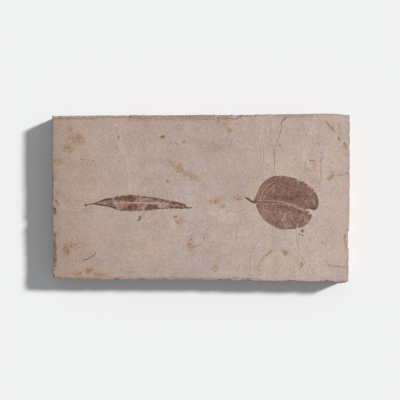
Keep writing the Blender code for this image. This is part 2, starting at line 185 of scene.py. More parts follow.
# Shallow scars where a thin flake has lifted off: depth and outline
SCARS = (
    (0.22, ((71, 88), (69.8, 76.5), (68.8, 68.2), (68.6, 61.5), (70.8, 55.8), (75.6, 57.6), (77.4, 62.3),
            (79.6, 69.8), (80, 76.5), (87, 88))),
    (0.16, ((63.6, 54.4), (72.8, 54), (72.6, 40.7), (72.9, 30.7), (71.4, 25), (65.4, 24.6), (61, 31.6),
            (61.4, 44))),
    (0.35, ((14.6, 81.4), (16, 77), (20.6, 78.6), (25.6, 77.4), (29.4, 78.6), (32.6, 80.6))),
    (0.18, ((107.6, 38.6), (110.6, 39), (113.4, 37.4), (114, 33.4), (111.6, 29.4), (108.2, 31.6),
            (106.6, 35.4))),
    (0.16, ((61, -35.4), (71.4, -37), (72.4, -48.6), (64, -55.6), (57, -66), (51.6, -69.4), (50.6, -58.4),
            (54, -50))),
    (0.14, ((9.4, -26.4), (22, -24.6), (36, -28), (35.4, -41), (30, -44.6), (21, -42.2), (11, -41.6),
            (4, -40), (4.6, -32))),
    (0.13, ((104, 48), (111, 50.6), (121.6, 45.4), (119.4, 38), (118.8, 31), (119.6, 22), (118.4, 14),
            (112, 12.6), (107, 16.4), (103.4, 24), (102, 36))),
    (0.12, ((103.4, 58), (108.6, 69), (114, 74), (119, 66), (113, 52), (106, 39), (103, 42))),
)
SCAR_SLOPE = 0.35

# Low ridges: height, half width and path
RIDGES = (
    (0.16, 1.4, ((-83.4, 69), (-81.4, 60), (-84, 54), (-78, 46), (-74.4, 36), (-73.2, 24), (-72.6, 10))),
    (0.14, 2, ((133, 60), (126.4, 51.4), (122.6, 44), (121.4, 34), (121.8, 22), (120.4, 10))),
    (0.14, 1.6, ((-57, 17.6), (-49, 12.6), (-42, 6), (-37.4, 1.6))),
    (0.12, 1.2, ((15.6, -56), (20, -60.6), (25, -67))),
    (0.2, 0.8, ((108.2, -9.6), (109, -12.4), (111.4, -15.4))),
    (0.1, 1.6, ((30.6, -53), (31.4, -60), (31, -66))),
)

# Pits with dark floors: place, radius and darkness, then how far floor, stain and rim reach in radii
DOTS = (
    (-120, 39.5, 0.8, 0.8), (-108, 37.8, 0.8, 0.6), (-112.6, 38.8, 0.6, 0.4), (-68, 26, 0.9, 0.55),
    (-56, 19.5, 0.9, 0.4), (-43, 21, 0.9, 0.35), (-30, 56, 0.6, 0.5), (-24, 55, 0.7, 0.6),
    (50.5, 54.5, 0.8, 0.6), (94.5, 39.5, 0.5, 0.7), (117.6, 55, 1.1, 0.45), (137.4, 60.8, 0.9, 1),
    (138.2, 59.2, 0.9, 1), (143.3, 55.4, 1, 0.95), (135.5, 15, 0.6, 0.7), (8, -16.5, 0.6, 0.7),
    (39, -18, 0.7, 0.45), (121.5, -43.6, 0.9, 0.6), (126, -63.2, 0.9, 0.6), (138, -64.2, 0.7, 0.5),
    (101.3, -32, 1.7, 0.95), (98.4, -35.2, 1, 0.85), (101.4, -36.3, 1.2, 0.9), (-42.5, -36, 0.7, 0.55),
    (-46.5, -32, 0.6, 0.5), (-38.3, 62.2, 1.6, 0.6), (-17, 57.6, 1, 0.45), (-33.8, 17.4, 1.3, 0.52),
    (-26.2, -17.6, 1.2, 0.45), (-23.2, -23.4, 1.1, 0.45), (-124, -49.6, 0.8, 0.35),
    (-22.5, -27.5, 0.7, 0.3), (-9.6, -40.4, 0.9, 0.7), (-10.2, -36.2, 0.9, 0.5), (23, 0.4, 0.8, 0.3),
    (104.8, 36.8, 0.7, 0.5), (118, 8.4, 0.8, 0.35), (-117.4, 38.2, 0.5, 0.3), (-95, 12, 0.6, 0.25),
    (-36, -8, 0.5, 0.2), (129.6, 27.2, 0.8, 0.6), (133.4, 27, 0.8, 0.55), (-103, -13, 0.5, 0.3),
    (-86, 70, 0.5, 0.3), (-6, 24, 0.8, 0.5), (6, 68, 0.6, 0.3), (44, 24, 0.5, 0.3), (-60, 40, 0.6, 0.25),
    (-20, 6, 0.6, 0.3),
)
DOT_DEPTH = 0.14
DOT_FLOOR, DOT_STAIN, DOT_RIM = 0.5, 0.4, 1.6

# Stains, and painted light and shade: spots (x, y, half width, half height, strength), strokes (half width,
# strength, path), wobble, seed. The soft layer is painted shade, the pale layer is partly pale stone and
# partly painted light on ridges, bulges and the lip of the upper left rim, and the dark layer also paints the
# shadow inside that rim
STAINS_AND_PAINTED_LIGHT = {
    "dark": (
        (), ((0.75, 0.85, ((-83, 62.8), (-81.8, 60.2))), (0.5, 0.45, ((-31, 56.2), (-27, 55.4), (-24, 55))),
             (0.6, 0.75, ((77.6, 54.2), (79.6, 53.2), (80.4, 51.8))),
             (0.7, 0.6, ((-145.6, -1), (-142, -6.6))),
             (0.6, 0.7, ((-8.6, -49), (-5.6, -47.4), (-1, -46.2))),
             (0.6, 0.5, ((-130, -48), (-127.4, -45.4))), (0.5, 0.4, ((-48.6, -41), (-47.6, -37.6))),
             (0.7, 0.65, ((70.6, -51.6), (67, -54.8), (64.6, -56.6))),
             (0.6, 0.4, ((64, -57), (60.6, -60), (59.6, -63.6))),
             (0.5, 0.5, ((107.8, -38.4), (108.8, -41.4))),
             (0.7, 0.8, ((99.6, -63.6), (101.4, -64.8), (101.6, -66))),
             (0.7, 0.8, ((99.4, -66.8), (100.6, -68.4))),
             (0.5, 0.45, ((11, -53.2), (14.6, -53), (17.6, -53.8))),
             (0.7, 0.7, ((108.6, 38.7), (113.6, 38.2))),
             # Painted shadow inside the broken upper left rim
             (0.6, 0.6, ((-147, 80.2), (-132, 80.3), (-104, 80.2))),
             (0.5, 0.35, ((-147, 73), (-139, 73.6))), (0.6, 0.8, ((31.4, 79), (36, 80.4), (39, 82.6))),
             (0.7, 0.4, ((144.4, 48), (147, 40))), (0.6, 0.4, ((14, 79), (15.6, 77), (19, 77.4))),
             (0.5, 0.35, ((-56, 20.6), (-43.4, 20))),
             (0.6, 0.32, ((-62, 21), (-54, 17.6), (-46, 11), (-37, 3.4))),
             (0.5, 0.16, ((-72, 72.6), (-30, 72.9), (0, 73.2))),
             (0.6, 0.35, ((-104, -29), (-106.4, -31.4))),
             (0.4, 0.35, ((127, -66.8), (135, -67.6), (147.4, -68.6))),
             (0.6, 0.55, ((148.2, 76), (148.3, 65)))),
        0, 0,
    ),
    "pale": (
        ((-28, 30, 3, 3, 0.3), (31, -60, 3, 7, 0.45), (-56, 11, 27, 6, 0.6), (-60, -18, 32, 5, 0.45),
         (16, -15, 22, 11, 0.75), (68, 39, 5, 14, 0.6), (74, 72, 3.6, 11, 0.55), (112, 54, 7, 10, 0.45),
         (61, 70, 6, 13, 0.35), (-78.5, 51, 4.6, 10, 1), (-75, 32, 4, 10, 0.65), (8, 2, 13, 9, 0.55),
         (-36, 22, 11, 12, 0.65), (-16, 30, 14, 11, 0.4), (-10, -43, 9, 10, 0.45), (-141, 38, 7, 8, 0.5),
         (62, -62, 10, 9, 0.45), (-21, -17, 17, 40, 0.95), (110, -13, 1.8, 2.6, 1), (32, -38, 24, 12, 0.45),
         (-66, 38, 8, 28, 0.52), (-84, 68, 12, 9, 0.6), (-137, -10, 6, 22, 0.4), (-6, -62, 9, 9, 0.5),
         (110, 68, 9, 9, 0.62), (-46, 30, 12, 10, 0.5), (-14, -4, 2, 3, 0.5), (105, 46, 2.4, 10, 0.3),
         (84, -36, 12, 3.6, 0.35), (-138, 58, 3, 4, 0.25), (-126, -66, 4, 4, 0.25), (-33, -24, 3, 8, 0.25),
         (66, -78, 20, 2, 0.2)),
        ((1.4, 0.5, ((115.4, -40), (116.4, -58), (118.4, -79))), (1.6, 0.35, ((92.4, -36), (94, -46))),
         (1.2, 0.5, ((-83.4, 69), (-81.8, 61))), (3.6, 0.5, ((-83, 57), (-79, 49), (-75.4, 38))),
         # The first stroke here is painted light on the lip of the upper left rim
         (1.1, 1.7, ((-148, 82.2), (-108, 82.4))), (1.6, 0.4, ((-73.2, 30), (-72.6, 12))),
         (2.6, 0.35, ((133, 60), (126.4, 51.4), (122.6, 44))), (1.2, 0.4, ((99, 79), (100.4, 72))),
         (2.4, 0.25, ((116, 78), (112, 66), (108, 56))), (2, 0.25, ((76, 56), (76, 40))),
         (1.6, 0.35, ((104, 56), (103, 40))), (1.4, 0.3, ((-57, 17.6), (-49, 12.6), (-42, 6))),
         (0.8, 0.3, ((99.6, -37), (104.6, -47))), (0.6, 0.5, ((96.4, -29.4), (99.4, -33.6)))),
        0.8, 220,
    ),
    "ochre": (
        ((-130.5, 70.5, 5, 3.4, 0.85), (-122, 61, 4.8, 6, 1), (-119, 56.5, 3.4, 3.4, 0.85),
         (-132, 51, 8, 6, 0.85), (-128, 61, 10, 12, 0.62), (-143, 38, 6.2, 5, 0.82),
         (-138, 37.4, 3.4, 2.6, 0.6), (-145.5, 21, 3, 3.6, 0.55), (-143.5, 6.5, 3.6, 5, 0.62),
         (-144, -3.5, 4.6, 5.8, 0.62), (-143, -33.5, 3, 8, 0.6), (-132.5, -47, 11, 8, 0.68),
         (-134.5, -51, 4.4, 6.4, 1.1), (-127, -46, 7, 4.4, 0.6), (-112, -71, 9, 5, 0.85),
         (-112, -72, 4, 3.4, 1.2), (-124, -75, 6, 3.4, 1), (-100, -75, 9, 2.8, 1), (-113, 28, 6, 6, 0.35),
         (-38.4, 62, 2.2, 2.2, 1), (-38.4, 62, 5, 5, 0.5), (-17.4, 57.6, 2, 2, 0.85),
         (-34, 17.5, 1.8, 1.8, 1), (-34, 17.5, 4.8, 4.4, 0.45), (-22.6, 31.4, 6.4, 6.4, 0.85),
         (-9, 21.6, 6, 4.4, 0.85), (-26, -18, 2.2, 2.2, 1.1), (-23, -23.4, 2.6, 2.6, 1.3),
         (-20.4, -21.8, 6.8, 6.4, 0.8), (-21, -28.5, 5, 4, 0.65), (-11, -47.6, 3.8, 5.6, 1),
         (-11.5, -40.6, 7.6, 8, 0.55), (5, -37, 3.6, 5, 0.65), (4, 15.6, 4, 3.4, 0.5),
         (14, -2, 9, 5.6, 0.8), (17.5, -1, 4.6, 3.6, 0.85), (22, -7.6, 5, 3, 0.8),
         (27.4, -10.8, 5.4, 2.8, 0.6), (37, 1, 7.4, 4.2, 0.82), (14.5, -69, 5, 5.6, 0.75),
         (25, 74, 9, 7, 0.62), (28, 69, 5, 4.4, 0.75), (133, -42, 10, 12, 0.2), (106, -46, 5, 12, 0.22),
         (-98, -24, 18, 16, 0.12), (86, 70, 5, 11, 0.34), (95, 51, 8, 12, 0.3), (120, 27, 4, 14, 0.3),
         (-132, 60, 5, 5, 0.6), (144, 53, 3, 4, 0.95), (138, 66, 4, 5, 0.5), (34, 70, 3, 3, 0.4),
         (134, 68, 5.2, 5.4, 0.5), (144, 72, 2, 2, 0.7), (139, 71.6, 1.8, 2.6, 0.75),
         (145.6, 50, 2.4, 5.6, 0.5), (110.5, 31, 6, 7, 0.3), (125, -66, 3, 1.5, 0.6), (66, -56, 6, 6, 0.35),
         (58, -65, 3.6, 7, 0.3), (75.5, -68, 5.4, 5.4, 0.45), (49.5, -76.6, 6, 3, 0.5),
         (140, -78.6, 5, 1.6, 0.4), (114, 16, 4.6, 2, 0.45), (-47.4, -20, 2.6, 2.6, 0.35),
         (118, 66, 3.6, 3.6, 0.25), (88, -44, 3.6, 2.6, 0.25), (-52, -30, 1.6, 7, 0.22),
         (10, -32, 5, 5, 0.2)),
        ((1.2, 0.65, ((-125.6, 64.4), (-122, 60), (-118.4, 55.6))),
         (1.1, 0.65, ((-119.6, 64.6), (-122.6, 60), (-126, 58.6))),
         (4.6, 0.58, ((-33, 37.6), (-26, 34.6), (-18, 28), (-10, 21))),
         (2.8, 0.5, ((-10, 21), (-2, 19), (5, 15))), (1.5, 0.8, ((125, 77), (128, 73.4), (132, 69))),
         (1.2, 0.62, ((132.4, 79), (132.2, 70))), (1.2, 0.65, ((137.4, 74), (137.2, 66))),
         (1.6, 1.3, ((127.6, 20.4), (129.6, 21.6), (133, 23.2))), (1.4, 0.8, ((131, 24), (133, 26.6))),
         (0.9, 0.7, ((122, -67.4), (126, -66.2), (132, -67), (147.6, -68.4))),
         (3.8, 0.6, ((70.6, -52.6), (65, -58), (60.6, -63), (57.6, -70))),
         (1, 0.5, ((108, 38.8), (113.4, 38.2), (114.2, 33))),
         (2.6, 0.12, ((-146.4, 78), (-146.4, 45), (-146.6, 0))),
         (2.4, 0.12, ((-143, -20), (-142.4, -45), (-143, -72)))),
        1.7, 200,
    ),
    "rust": (
        ((-98.5, -76.5, 9, 1.8, 0.6), (-80, -78, 9, 1.2, 0.4), (145.8, 51, 1.8, 6, 0.5),
         (35, -79, 4.6, 1.6, 0.9), (17, 79, 2.6, 2.8, 0.85), (26, 80, 6.2, 2.2, 0.8),
         (49, -78.4, 3, 1.2, 0.4), (140, -81.5, 6, 1.4, 0.5), (-110, 36, 2, 2, 0.2)),
        ((0.8, 0.9, ((138, 23.6), (142, 24.2), (147, 25.6))),
         (1.1, 0.8, ((144, -36), (143.6, -42), (145.6, -49))),
         (1.1, 0.35, ((147, 45), (147.2, 0), (146.6, -40), (146, -80))),
         (1, 0.7, ((-70, 81.6), (-40, 81.9), (-6, 82.2), (12, 82.4))),
         (3.6, 0.55, ((-72, 79.8), (-40, 80), (-6, 80.2), (12, 80.4))),
         (0.9, 0.7, ((87, 82.4), (83.5, 80.2), (80.2, 76.5))), (1, 0.5, ((42, 82.4), (56, 81.6))),
         (1, 0.6, ((82, 81.9), (112, 82.6))),
         (0.8, 0.75, ((-144, -78), (-100, -78.8), (-20, -78.9), (60, -80))),
         (1.6, 0.6, ((-146.6, -34), (-146.4, -50), (-146.6, -70))),
         (0.9, 0.7, ((125.6, 77), (129, 73), (133, 68))), (0.7, 0.5, ((132.6, 78.4), (132.4, 70)))),
        0.6, 210,
    ),
    # Painted shade in broad soft patches and along the shaded lower left side
    "soft": (
        ((84.4, -54, 3, 2.8, 1.5), (20, -58, 6, 5, 0.42), (92, -50, 5, 10, 0.13), (14, 52, 30, 14, 0.4),
         (-24, 72, 9, 7, 0.43), (-50, 18, 7, 4, 0.2), (10, -53, 5, 2, 0.2), (-8, -40, 4, 4, 0.15),
         (-86, 30, 6, 8, 0.12), (100, 42, 6, 8, 0.1), (-147, -50, 1.6, 26, 0.3), (104, 28, 16, 7, 0.36),
         (122, 3, 7, 15, 0.25), (112, 18, 6, 7, 0.42), (119, -13, 5, 9, 0.27), (-72, -72, 14, 6, 0.37),
         (-46, -70, 9, 5, 0.34), (-120, -60, 8, 5, 0.15)),
        (), 1.2, 230,
    ),
    "pink": (
        ((106, -52, 6, 12, 0.45), (52, 10, 6, 10, 0.6), (62, -28, 8, 6, 0.6), (24, 42, 22, 16, 0.4),
         (111, 31, 7, 16, 0.45), (20, -58, 12, 6, 0.35), (128, 80, 16, 3.6, 0.9), (147, 14, 3, 12, 0.7),
         (75, 68, 3.6, 12, 0.5), (64, -46, 7, 9, 0.5), (117, 26, 2, 9, 0.6), (-128, -74, 5, 2.6, 0.8),
         (-60, 72, 50, 2.4, 0.3), (-55, -70, 30, 5, 0.35), (138, 0, 5, 8, 0.3), (-12, 70, 16, 3, 0.25)),
        ((3.4, 0.35, ((-145.6, 78), (-145.6, 40), (-145, 0))),
         (3.2, 0.35, ((-143.4, -14), (-142.4, -45), (-141, -74))),
         (3, 0.35, ((-142, -76.4), (-60, -76.8), (50, -77.6))),
         (2.6, 0.3, ((40, 80.6), (80, 80.4), (112, 80.6)))),
        1, 240,
    ),
    "cream": (
        ((22, -34, 15, 8, 0.5), (110.5, 31, 3, 7, 0.7), (28, 68, 6, 5, 0.5), (36, 1, 7, 4, 0.5),
         (-100, -24, 14, 12, 0.3), (-56, -50, 24, 22, 0.58), (88, 34, 28, 14, 0.66), (54, -6, 8, 26, 0.8),
         (122, -4, 7, 18, 0.55), (88, -60, 36, 20, 0.45), (36, -54, 26, 10, 0.45), (132, 44, 10, 22, 0.35)),
        (), 1.2, 250,
    ),
}

# How far stains, painted light and shade, and dark marks reach down the sides, and the pale halo round each
# film
STAIN_AND_SHADE_DEPTH = 7.0
DARK_DEPTH = 3.0
HALO = 0.22
HALO_WIDTH = 0.9

# The round leaf's edge runs from the stalk over the top to the notch and back along the lower side
ROUND_UPPER = (
    (54, 0.4), (56.9, 7.4), (60.7, 14.5), (66.1, 19.4), (71.5, 22.1), (75.9, 22.9), (82.4, 22.8),
    (90, 21.6), (96.5, 19.9), (101.3, 17.9), (105.7, 15), (110, 11.8), (113.8, 7.4), (116.5, 2.6),
    (117.6, -2.9), (117.1, -7.2), (114.9, -10.5), (112.7, -11.1), (109.5, -10), (106.5, -10.2),
)
ROUND_LOWER = (
    (108.4, -13.7), (111.1, -16.7), (110, -19.1), (107.3, -23.5), (103.5, -26.7), (99.7, -28.6),
    (97.4, -28.9), (96.3, -26.6), (95.2, -29.9), (88.8, -30.1), (82.4, -30.3), (75.9, -29), (69.4, -25.6),
    (63.4, -20.8), (59.6, -15.9), (56.3, -9.4), (54.6, -4.4),
)
ROUND_STALK = (
    (54.6, -4.4), (51.6, -4), (48.2, -1.9), (44.4, 0.7), (45, 1.9), (49.2, -0.1), (52, -2.2), (54, 0.4),
)
ROUND_CORNERS = ((106.5, -10.2), (111.1, -16.7), (97.4, -28.9), (96.3, -26.6), (95.2, -29.9))
STALK_CORNERS = ((44.4, 0.7), (45, 1.9))

# Veins: half width, height and path
ROUND_VEINS = (
    (0.6, 0.16, ((55.2, -3), (65, -3.2), (77, -3.8), (86.7, -4.8), (93, -6.6), (99.7, -10), (104, -11.6))),
    (0.45, 0.12, ((58, -3.2), (61.6, 3.4), (66, 9.6), (71, 16.6))),
    (0.35, 0.09, ((62, -3.3), (69.4, 4.6), (76, 12.4), (80.4, 18.6))),
    (0.35, 0.08, ((74, -3.7), (82.4, 2.6), (89.4, 10.4), (92.4, 16))),
    (0.35, 0.08, ((86, -4.7), (94, 0.4), (101, 4), (107.4, 8.6))),
    (0.4, 0.1, ((58.4, -3.2), (62.4, -9.4), (68, -16.4), (74.4, -22.6))),
    (0.35, 0.09, ((68, -3.4), (75, -10.6), (81.6, -17), (85.6, -24.4))),
    (0.35, 0.08, ((83, -4.5), (90, -11), (96.6, -16.4), (100.4, -22))),
    (0.25, 0.06, ((56.6, -2.6), (58.4, 2.4), (62, 8.4), (64.6, 14))),
    (0.25, 0.06, ((68, -3.4), (76, 3.4), (83, 11), (86.4, 18.4))),
    (0.25, 0.06, ((80, -4), (88.6, 1.6), (96, 7.6), (100.4, 14))),
    (0.25, 0.06, ((62.6, -3.4), (69, -10.4), (75.6, -17.6), (80, -25.4))),
    (0.25, 0.06, ((75.6, -3.8), (83, -11), (89.6, -17.4), (92.6, -24.4))),
    (0.25, 0.06, ((92, -6.2), (99, -2.6), (106, 0.6), (113, 2.6))),
)

# The look of the round leaf, as spots and strokes in each layer
ROUND_LOOKS = {
    "dark": (
        ((101.6, -21.4, 1.6, 3.6, 0.55), (91.5, -26, 4.4, 2.2, 0.2), (115.6, 1, 1.6, 4.6, 0.4),
         (113.4, -9.4, 3.6, 1.3, 0.65), (108.6, -17.4, 1.6, 2.6, 0.35), (90, -10.4, 12, 3, 0.3),
         (100, 16, 3, 1.6, 0.4), (70, 17, 3, 2.4, 0.4), (88, 0.6, 9, 3, 0.5), (74, 2.2, 7, 3.4, 0.42),
         (92, 6, 6, 3.6, 0.3), (66.4, -22.4, 3, 1.6, 0.2), (60, -6.6, 1.4, 1.4, 0.4),
         (64.6, -8.8, 1, 1.4, 0.4), (96.6, 3, 5, 4, 0.35), (57.4, 9, 1.2, 3, 0.3),
         (93.4, -19.6, 2.6, 1.6, 0.35), (82, -7.6, 7, 1.8, 0.4), (100, -13.4, 3.4, 1.4, 0.4),
         (90.4, -22.6, 1.2, 2.4, 0.4)),
        ((0.42, 0.62, ((54.6, -2.6), (60, -3), (68, -3.3), (75.4, -3.4))),
         (0.5, 0.35, ((57.4, 7), (60, 12.6), (64.6, 17.6), (70.6, 21))),
         (0.6, 0.9, ((44.8, 1.3), (48.6, -1), (51.4, -3), (54.4, -3))),
         (0.7, 0.7, ((80, -30.2), (82.2, -29.8))), (0.7, 0.7, ((87, -29.6), (89, -29.4))),
         (0.9, 0.4, ((72.6, -15), (75, -18.4), (77.4, -22.6)))),
    ),
    "pale": (
        ((83.2, -18.6, 2.2, 5, 0.85), (89.6, -17, 1.8, 4.4, 0.52), (70, -10.6, 5.6, 5, 0.25),
         (97.6, 15.6, 1.6, 2, 0.4), (104, 12, 2.6, 2, 0.4), (66, -8, 2, 2.4, 0.35),
         (112.8, -2.6, 1.8, 3.6, 0.64), (84, -24.6, 8, 3.6, 0.5), (72, -19.6, 3, 3, 0.3),
         (96.4, 18.2, 1.2, 0.9, 0.6), (106.6, -22, 1.8, 2.4, 0.5), (78.6, 15.6, 1.4, 1.4, 0.35),
         (60.4, 4.6, 1, 1, 0.4), (104.4, -12.6, 1.4, 1.4, 0.6), (108.8, 6.4, 3.2, 4, 0.52),
         (87.4, -22.6, 2, 3, 0.3), (94.6, -14.4, 2.4, 2, 0.25), (80, -15, 24, 10, 0.4),
         (107, -2.4, 3.4, 3.4, 0.5), (102, -19, 6, 6, 0.65), (65, -13, 6, 8, 0.62),
         (84, -27.2, 11, 2.8, 0.54), (74, 19.6, 8, 2.4, 0.3), (97.6, -21, 3, 4, 0.4),
         (60.6, -8.6, 3.6, 4, 0.52)),
        ((0.6, 0.85, ((56, -1), (64, -1.9), (72, -1.9), (78, -2.4), (86, -3.2))),
         (0.65, 0.75, ((55.4, -4.2), (62, -4.5), (70, -4.7), (80, -4.9), (88, -5.4))),
         (1.4, 1, ((86, -5.4), (91, -6.2), (95, -7.8), (99, -9.6), (103.4, -11.4))),
         (0.8, 0.45, ((80, -4.8), (87, -5.4), (93, -5.6), (98, -6.4))),
         (0.55, 1.25, ((58.8, -1), (60.4, 4), (62.6, 8), (66.6, 12.6), (71.4, 17.4))),
         (0.55, 1.1, ((62, 0), (65.6, 4.4), (68.6, 9.4), (74, 14.4))),
         (0.5, 0.7, ((65, -1), (69.6, 4.6), (75, 10.4), (80, 14))),
         (0.5, 0.9, ((56.8, 1.4), (59, 8), (62.4, 12.8))),
         (0.5, 0.45, ((72, -1.6), (78, 4), (84, 10), (88, 15))),
         (0.4, 0.5, ((87.2, 6.2), (90.2, 3.2), (93, 4.6))), (0.4, 0.4, ((69, 10), (75, 14.6), (81, 16))),
         (0.6, 0.9, ((96.2, -20.6), (96.8, -23.6), (97, -27))),
         (0.9, 0.95, ((80.6, -13), (79.8, -18), (82.2, -22.4), (85.6, -26.8), (91, -26.4))),
         (0.7, 0.6, ((58.6, -9), (61.2, -15), (65.4, -21), (71.2, -26), (78, -28.4))),
         (0.7, 0.9, ((86.4, -12.6), (90, -13.6), (91.4, -18), (90, -21.4))),
         (0.4, 0.35, ((72, -4.8), (78.6, -11.4), (84, -15)))),
    ),
    "warm": (
        ((61.6, 9.6, 4.6, 8, 0.9), (71, -19, 7, 4.6, 0.6), (90.6, -26.4, 5, 3, 0.4),
         (87, -2.6, 10, 2.6, 0.5), (85, -10, 5, 3.6, 0.5), (61, -2.2, 6, 1.6, 0.6), (80, 1, 10, 3, 0.4),
         (66.6, 15, 3.6, 3, 0.6)),
        ((1, 0.7, ((60, 3), (65, 11.6), (71, 17))),),
    ),
    "cool": (
        ((101.6, -3.6, 5, 6.6, 0.6), (113, -2.4, 4, 8, 1.1), (104, 8, 5, 5, 0.6), (112, 4.4, 3, 4, 0.6),
         (93, -15, 6, 6, 0.3), (78, 12, 9, 6, 0.3), (107.6, -20, 3, 5, 0.5)),
        (),
    ),
    "olive": (((106.6, 1, 3, 6, 0.7), (107, -5.4, 2.4, 3, 0.4), (74, -7, 6, 3, 0.35)), ()),
    "bare": (
        ((80.4, 23.2, 1, 1, 0.9), (87.6, 22.4, 1.3, 1.1, 1), (91, 21.8, 0.7, 0.9, 0.8),
         (97.4, 19.6, 1.6, 1.1, 1.1), (99.8, 18.6, 1.2, 1.4, 1.1), (104.4, 16.2, 0.9, 1, 1),
         (108.2, 13.4, 1.4, 1.6, 1.1), (110.4, 11.4, 1.3, 1.3, 1.1), (113.4, 8.2, 0.8, 1.2, 0.9),
         (106, 13.4, 0.7, 0.6, 0.8), (101.6, 15.6, 0.6, 0.5, 0.7), (96.6, 17.4, 0.6, 0.5, 0.7),
         (64.2, 18.6, 0.9, 0.8, 0.8), (70.6, -27, 1.2, 0.9, 0.8), (76, -29.4, 1.4, 0.8, 0.9),
         (81, -30.4, 1.1, 0.7, 0.8), (87.4, -30.4, 1, 0.9, 0.9), (104.6, -26.2, 1, 1, 0.9),
         (107.8, -22.8, 0.9, 1, 0.9), (106.4, -10.9, 1.4, 1.2, 1.2), (108.4, -14.4, 1.2, 1.4, 1),
         (58, -14, 0.8, 1, 0.6), (92, -30.2, 0.8, 0.7, 0.7)),
        ((0.5, 1, ((96.4, -24.8), (96.2, -27), (96.6, -30))),
         (0.5, 0.46, ((85, -5), (91, -5.9), (95, -7.4), (99, -9.3), (105, -11.8))),
         (0.4, 0.3, ((90, -4.6), (94, -5), (97.6, -6.2)))),
    ),
}

# The slender leaf's margins, from the stalk on the left to the broken tip on the right
LANCE_UPPER = (
    (-116.3, -5.8), (-115.2, -5.1), (-113.8, -5.4), (-110.4, -4.7), (-107.8, -4.2), (-103.4, -2.9),
    (-96.5, 0), (-88.9, 1.1), (-81.2, 2.5), (-72, 3.7), (-64.4, 3.3), (-56.7, 2.4), (-47.5, 1),
    (-38.3, -0.9), (-29.2, -2.6), (-21.5, -4.1), (-15.4, -5.3),
)
LANCE_TIP = ((-15, -7.4), (-12.6, -8.1), (-9.3, -7.8), (-9.4, -8.9), (-12.8, -9.6))
LANCE_LOWER = (
    (-16.2, -9.7), (-26.1, -9.1), (-34.5, -9.3), (-41.4, -9.7), (-49.1, -10.8), (-55.2, -11.2),
    (-67.4, -11.7), (-78.1, -11.6), (-82.7, -11.1), (-86.6, -9.6), (-91.9, -8), (-98, -6.9), (-103.4, -6.1),
    (-108, -5.3), (-111.6, -5.8), (-113.6, -6.4), (-114.8, -7.2), (-115.9, -7),
)
LANCE_CRACK = ((-88.6, 2.2), (-86.4, -2), (-84.4, -6.6), (-81.2, -12.6))

# Teeth along the upper and the lower margin, where each one starts, and how far they stand out
UPPER_TEETH = (-86.4, -80.6, -72.8, -65.4, -57.4, -51.6, -47.8, -44.8, -41.6, -38.6, -34.6, -31, -27.4, -23.6)
LOWER_TEETH = (-80, -73.4, -69.6, -63.4, -58, -53.8, -49.4, -45, -40.6, -36.4, -32, -27.6, -23)
UPPER_TOOTH = 1.0
LOWER_TOOTH = 0.7
TOOTH_LENGTH = 3.2

# The slender leaf's midrib: half width, height and path
LANCE_VEINS = (
    (0.7, 0.16, ((-107, -4.8), (-96, -4.4), (-81, -4.2), (-60, -4.2), (-40, -4.8), (-26, -5.8),
                 (-16.6, -6.8))),
)

# Fine side veins of the slender leaf: the first and the last start, their number, lean, reach and section
SIDE_VEINS = (-98.0, -22.0, 17)
SIDE_VEIN_LEAN = 6.0
SIDE_VEIN_REACH = 0.86
SIDE_VEIN = (0.22, 0.05)

